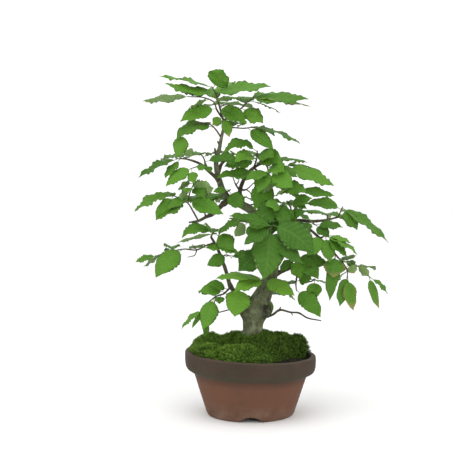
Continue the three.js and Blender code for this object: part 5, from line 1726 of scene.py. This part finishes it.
@dataclass
class Foliage:
    """The sprays: twigs, buds, leaf stalks and wavy veined blades."""

    home: Array
    stations: int = 56
    cells: int = 10
    thickness: float = 0.42
    swelling: float = 0.58
    tapering: float = 0.92
    tilt: float = 5.0
    sway: float = 0.045
    droop: tuple[float, float] = (0.01, 0.05)
    twist: float = 14.0
    plumpness: tuple[float, float] = (1.0, 1.1)
    fold: tuple[float, float] = (2.0, 24.0)
    fold_apart: float = 6.0
    ripple: tuple[float, float] = (0.024, 0.042)
    tone_spread: float = 0.26
    yellow_spread: float = 0.08
    scorched_share: float = 0.45

    def outline(self, s: Array) -> Array:
        """The blade's breadth as a share of its widest, drawn out at the tip.

        It is s^swelling (1 - s)^tapering over that formula's highest value.
        """
        peak = self.swelling / (self.swelling + self.tapering)
        top = peak**self.swelling * (1 - peak) ** self.tapering
        body = np.maximum(s, 0) ** self.swelling * np.maximum(1 - s, 0) ** self.tapering / top
        return body * (1.0 - 0.30 * smooth(0.72, 0.97, s)) + 0.012

    def midrib(
        self, base: Array, leaf: Row, rng: np.random.Generator
    ) -> tuple[Array, Array, Array, Array, Array]:
        """The line that one leaf's blade is laid out along.

        It bows as 4 arch L t (1 - t), sways as sin(pi t) t and droops a little, over shares t of
        the leaf's length L.

        Args:
            base: where the stalk leaves the twig.
            leaf: the leaf's row.
            rng: the seeded source of chance.

        Returns:
            Shares along the blade, the midrib's points there, the directions across and over the
            blade, and the stalk's rows.
        """
        tip, lean, arch = np.array(leaf[1:4], float), leaf[5], leaf[6]
        length = float(np.linalg.norm(tip - base))
        axis = (tip - base) / length
        up = np.array([0.0, 0.0, 1.0])
        tilt = math.radians(lean + rng.uniform(-self.tilt, self.tilt))
        face = np.array([0.0, -math.sin(tilt), math.cos(tilt)])
        face = unit(face - axis * (face @ axis))
        side = np.cross(face, axis)
        bow = (up - axis * (up @ axis)) * arch * length * 4
        stalk = min(STALK_LENGTH, length / 4) / length
        sway = rng.uniform(-self.sway, self.sway) * length
        droop = rng.uniform(*self.droop) * length * (1.0 - abs(axis[2]))

        def middle(t: Array) -> Array:
            """The midrib's line at shares t of the whole leaf."""
            t = t[:, None]
            line = base + axis * length * t + bow * t * (1 - t) + side * sway * np.sin(np.pi * t) * t
            return line - up * droop * (np.sin(np.pi * t) * 0.3 - t**3 * 0.35)

        s = np.linspace(0.0, 1.0, self.stations) ** 0.95
        line = middle(stalk + s * (1 - stalk))
        along = unit(np.gradient(line, axis=0))
        twist = np.radians(rng.uniform(-self.twist, self.twist)) * s**1.5
        over = unit(face - along * (along @ face)[:, None])
        across = np.cross(over, along)
        c, d = np.cos(twist)[:, None], np.sin(twist)[:, None]
        across, over = across * c + over * d, over * c - across * d
        stem = middle(np.linspace(0.0, stalk * 1.15, 5))
        girth = np.array([1.25, 1.0, 0.9, 0.9, 0.6]) * STALK_RADIUS
        return s, line, across, over, np.column_stack([stem, girth])

    def section(
        self, width: float, s: Array, rng: np.random.Generator
    ) -> tuple[Array, Array, Array, Array]:
        """How far out from the midrib and how far over it the blade's two skins lie.

        Across it the blade folds up like a shallow V, bends down again towards its edges and is
        ridged between the side veins, and its edge waves and is toothed.

        Args:
            width: the blade's breadth at its widest.
            s: shares along the blade.
            rng: the seeded source of chance.

        Returns:
            Distances out and distances over, shape (stations, 2 * cells), the place across the
            blade from 1 to -1 and back, and 0 on the upper skin and 1 on the lower.
        """
        inner = np.linspace(1.0, -1.0, self.cells + 1)
        ring = np.concatenate([inner, inner[-2:0:-1]])[None]
        below = np.concatenate([np.zeros(self.cells + 1), np.ones(self.cells - 1)])[None]
        below = np.where(np.abs(ring) >= 1.0, 0.5, below)
        s, reach = s[:, None], np.abs(ring)
        phase = 2 * np.pi * SIDE_VEINS * (s - VEIN_SWEEP * reach)
        turn = np.where(ring > 0, rng.uniform(0, 6.3), rng.uniform(0, 6.3))
        uneven = 0.8 + 0.5 * np.sin(2 * np.pi * 1.4 * s + 2.0 * turn)
        scallop = np.abs(np.sin(np.pi * SIDE_VEINS * (s - VEIN_SWEEP) + 0.6 * np.sin(turn)))
        tooth = 0.955 + 0.065 * scallop * uneven + 0.055 * np.sin(2 * np.pi * 1.7 * s + turn)
        breadth = width * rng.uniform(*self.plumpness)
        half = 0.5 * breadth * self.outline(s) * tooth
        fold = rng.uniform(*self.fold) + rng.uniform(-self.fold_apart, self.fold_apart) * np.sign(ring)
        fold = np.radians(fold)
        rise = reach * half * np.sin(fold) - (0.08 + 0.20 * rng.uniform()) * half * reach**2.2
        ripple = breadth * rng.uniform(*self.ripple)
        envelope = smooth(0.02, 0.25, s) * (1.0 - smooth(0.85, 1.0, s))
        rise = rise + envelope * uneven * ripple * reach**2.4 * np.sin(phase + 0.6 * np.sin(turn))
        rise = rise + envelope * 1.9 * ripple * reach**2.0 * np.sin(2 * np.pi * 2.3 * s + 1.7 * turn)
        ridge = np.cos(phase) * (1 - reach**3) * smooth(0.0, 0.2, reach)
        rise = rise - envelope * 0.005 * breadth * ridge
        rib = np.exp(-((ring * half / 0.9) ** 2)) * (1.0 - s) * 0.45
        skin = self.thickness * 0.5 * (1.0 - 0.6 * s)
        rise = rise + np.where(below > 0.6, -skin - rib, np.where(below < 0.4, skin - rib * 0.4, 0.0))
        return ring * half * np.cos(fold), rise, ring, below

    def blade(
        self, base: Array, leaf: Row, rng: np.random.Generator
    ) -> tuple[Array, dict[str, Array], Array]:
        """One leaf's closed shell: midrib + out times across + rise times over.

        Args:
            base: where the stalk leaves the twig.
            leaf: the leaf's row.
            rng: the seeded source of chance.

        Returns:
            Rings of points, shape (stations, 2 * cells, 3), values that spread over them, and the
            stalk's rows.
        """
        s, line, across, over, stem = self.midrib(base, leaf, rng)
        out, rise, ring, below = self.section(leaf[4], s, rng)
        points = line[:, None] + across[:, None] * out[..., None] + over[:, None] * rise[..., None]
        values = {"u": ring * 0.5 + 0.5, "v": s[:, None], "under": below}
        return points, values, stem

    def spray(
        self,
        node: str,
        shoots: list[Shoot],
        bark: bpy.types.Material,
        leaf: bpy.types.Material,
        number: int,
    ) -> bpy.types.Object:
        """Makes one spray.

        Args:
            node: the CAD node it stands for.
            shoots: its twigs with their leaves.
            bark: the twigs' finish.
            leaf: the leaves' finish.
            number: the spray's place in the list, which seeds its chance.

        Returns:
            The piece.
        """
        rng = np.random.default_rng(SEED + 100 + number)
        tint = TINTS.get(node, Tint())
        surface = Surface()
        buds, ways = [], []
        for shoot in shoots:
            rings = tube(shoot.twig, 7, 8, 0.28, 3.0)
            surface.skin(rings, slot=0, deep=0.1)
            end, way = along_line(shoot.twig, np.array([1.0]))
            buds.append(end)
            ways.append(way)
            if shoot.leaves:
                places = np.array([row[0] for row in shoot.leaves])
                bases, along = along_line(shoot.twig, places)
                for base, row in zip(bases, shoot.leaves):
                    points, values, stem = self.blade(base, row, rng)
                    tone = float(np.clip(tint.tone + rng.normal(0.0, self.tone_spread), 0.0, 1.0))
                    yellow = float(np.clip(tint.yellow + rng.normal(0.0, self.yellow_spread), 0.0, 1.0))
                    burnt = tint.burnt if rng.uniform() < self.scorched_share else 0.0
                    look = {"tone": tone, "yellow": yellow, "burnt": burnt}
                    surface.skin(points, slot=1, **values, **look)
                    surface.skin(tube(stem.tolist(), 3, 7), slot=1, u=0.5, v=0.1, under=0.5, **look)
                tips = np.array([row[1:4] for row in shoot.leaves], float)
                buds.append(bases)
                ways.append(unit(unit(tips - bases) * 0.4 + along + [0.0, 0.0, 0.3]))
        points, triangles = self.bud_shapes(np.vstack(buds), np.vstack(ways))
        surface.add(points, triangles=triangles, slot=0, deep=0.45)
        return stands_for(surface.piece(f"{node}_leaves", [bark, leaf], self.home), node)

    def bud_shapes(self, at: Array, way: Array) -> tuple[Array, Array]:
        """Small pointed buds: spindles of three rings, each turned to its own direction."""
        sides = 6
        angle, girths = round_turn(sides), ((0.35, -0.15), (0.62, 0.9), (0.36, 2.1))
        flat = np.stack([np.cos(angle), np.sin(angle)], axis=-1)
        rings = [np.column_stack([r * flat, np.full(sides, h)]) for r, h in girths]
        template = np.vstack([*rings, [[0, 0, -0.4], [0, 0, 3.0]]])
        quads = ring_quads(len(rings), sides)
        here = np.arange(sides)
        there, last = (here + 1) % sides, (len(rings) - 1) * sides
        foot, tip = np.full(sides, last + sides), np.full(sides, last + sides + 1)
        foot_cap = np.stack([foot, there, here], axis=1)
        tip_cap = np.stack([tip, here + last, there + last], axis=1)
        faces = np.vstack([quads[:, [0, 1, 2]], quads[:, [0, 2, 3]], foot_cap, tip_cap])
        across = unit(np.cross(way, [0.31, 0.87, 0.22]))
        frames = np.stack([across, np.cross(way, across), way], axis=-1)
        return scattered(template, faces, frames, at)

    def build(self) -> list[bpy.types.Object]:
        """Makes every spray.

        Returns:
            The pieces.
        """
        bark, leaf = TWIG_BARK.made(), LeafFinish().made()
        return [
            self.spray(node, shoots, bark, leaf, number)
            for number, (node, shoots) in enumerate(SPRAYS.items())
        ]


# ---------------------------------------------------------------- the studio


@dataclass
class Studio:
    """The camera, the pale floor and the soft lights; stand and look are millimetres about the pot."""

    home: Array
    lens: float = 92.2
    stand: Row = (-33.6, -1580.0, 362.0)
    look: Row = (-33.6, 0.0, 259.0)
    floor_half: float = 6000.0
    floor_cells: int = 24
    daylight: float = 1.12
    aim: Row = (0.0, 0.0, 0.22)

    def camera(self) -> None:
        """Sets the camera up in front, a little above the middle of the crown."""
        data = bpy.data.cameras.new("studio_camera")
        data.lens, data.sensor_width = self.lens, 36.0
        data.clip_start, data.clip_end = 0.05, 60.0
        made = bpy.data.objects.new("studio_camera", data)
        bpy.context.scene.collection.objects.link(made)
        made.location = np.array(self.stand) * MM + self.home
        drop = math.atan2(self.stand[2] - self.look[2], self.look[1] - self.stand[1])
        made.rotation_euler = (math.pi / 2 - drop, 0.0, 0.0)
        bpy.context.scene.camera = made

    def floor(self) -> None:
        """Lays the floor."""
        surface = Surface()
        row = self.floor_cells + 1
        edge = np.linspace(-self.floor_half, self.floor_half, row)
        x, y = np.meshgrid(edge, edge)
        corner = (np.arange(self.floor_cells)[:, None] * row + np.arange(self.floor_cells)).ravel()
        quads = corner[:, None] + [0, 1, row + 1, row]
        surface.add(np.stack([x, y, np.full_like(x, -0.05)], axis=-1), quads)
        made = surface.piece("studio_floor", [FloorFinish().made()], self.home)

    def lamp(self, name: str, place: Row, size: float, watts: float, colour: Colour = (1, 1, 1)) -> None:
        """Hangs a square soft light, placed in metres from the pot, that faces the tree's middle."""
        data = bpy.data.lights.new(name, "AREA")
        data.shape, data.size, data.energy, data.color = "SQUARE", size, watts, colour
        made = bpy.data.objects.new(name, data)
        bpy.context.scene.collection.objects.link(made)
        target = self.home + np.array(self.aim)
        at = np.array(place) + self.home
        made.location = at
        z = unit(at - target)
        x = unit(np.cross([0.0, 0.0, 1.0], z))
        y = np.cross(z, x)
        made.matrix_world = matrix_of(x, y, z, at)

    def build(self) -> None:
        """Sets up the whole studio."""
        self.camera()
        self.floor()
        world = bpy.data.worlds.new("studio_air")
        world.use_nodes = True
        air = world.node_tree.nodes["Background"]
        air.inputs["Color"].default_value = (1.0, 1.0, 1.0, 1.0)
        air.inputs["Strength"].default_value = self.daylight
        bpy.context.scene.world = world
        bpy.context.scene.view_settings.view_transform = "Standard"
        self.lamp("top_light", place=(-0.35, -0.75, 1.9), size=1.6, watts=11.0)
        self.lamp("front_light", place=(0.9, -1.9, 0.9), size=1.4, watts=5.0)


def matrix_of(x: Array, y: Array, z: Array, at: Array) -> Matrix:
    """A Blender matrix from three directions and a place."""
    rows = np.eye(4)
    rows[:3, :3] = np.stack([x, y, z], axis=1)
    rows[:3, 3] = at
    return Matrix(rows.tolist())


# ---------------------------------------------------------------- everything together


def pot_axis() -> Array:
    """The place under the pot's middle, in metres."""
    low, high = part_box("pot")
    return np.array([(low.x + high.x) / 2, (low.y + high.y) / 2, 0.0])


def main() -> None:
    """Builds every piece in order and rides each on the tree's one body."""
    logging.basicConfig(level=logging.INFO, format="%(name)s: %(message)s")
    home = pot_axis()
    Studio(home).build()
    moss = MossBed(home)
    pieces = [ThrownPot(home).build(), SoilBed(home).build(moss)]
    pieces += moss.build()
    pieces += Wood(home).build()
    pieces += Foliage(home).build()
    for piece in pieces:
        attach(piece, "root")
        log.info("%s: %d faces", piece.name, len(piece.data.polygons))
    for node, finish in (("drainage_mesh", MouldedMeshFinish()), ("mesh_wire", WireFinish())):
        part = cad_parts[node]
        part.data.materials.clear()
        part.data.materials.append(finish.made())
        log.info("%s: finished", node)


if __name__ == "__main__":
    main()
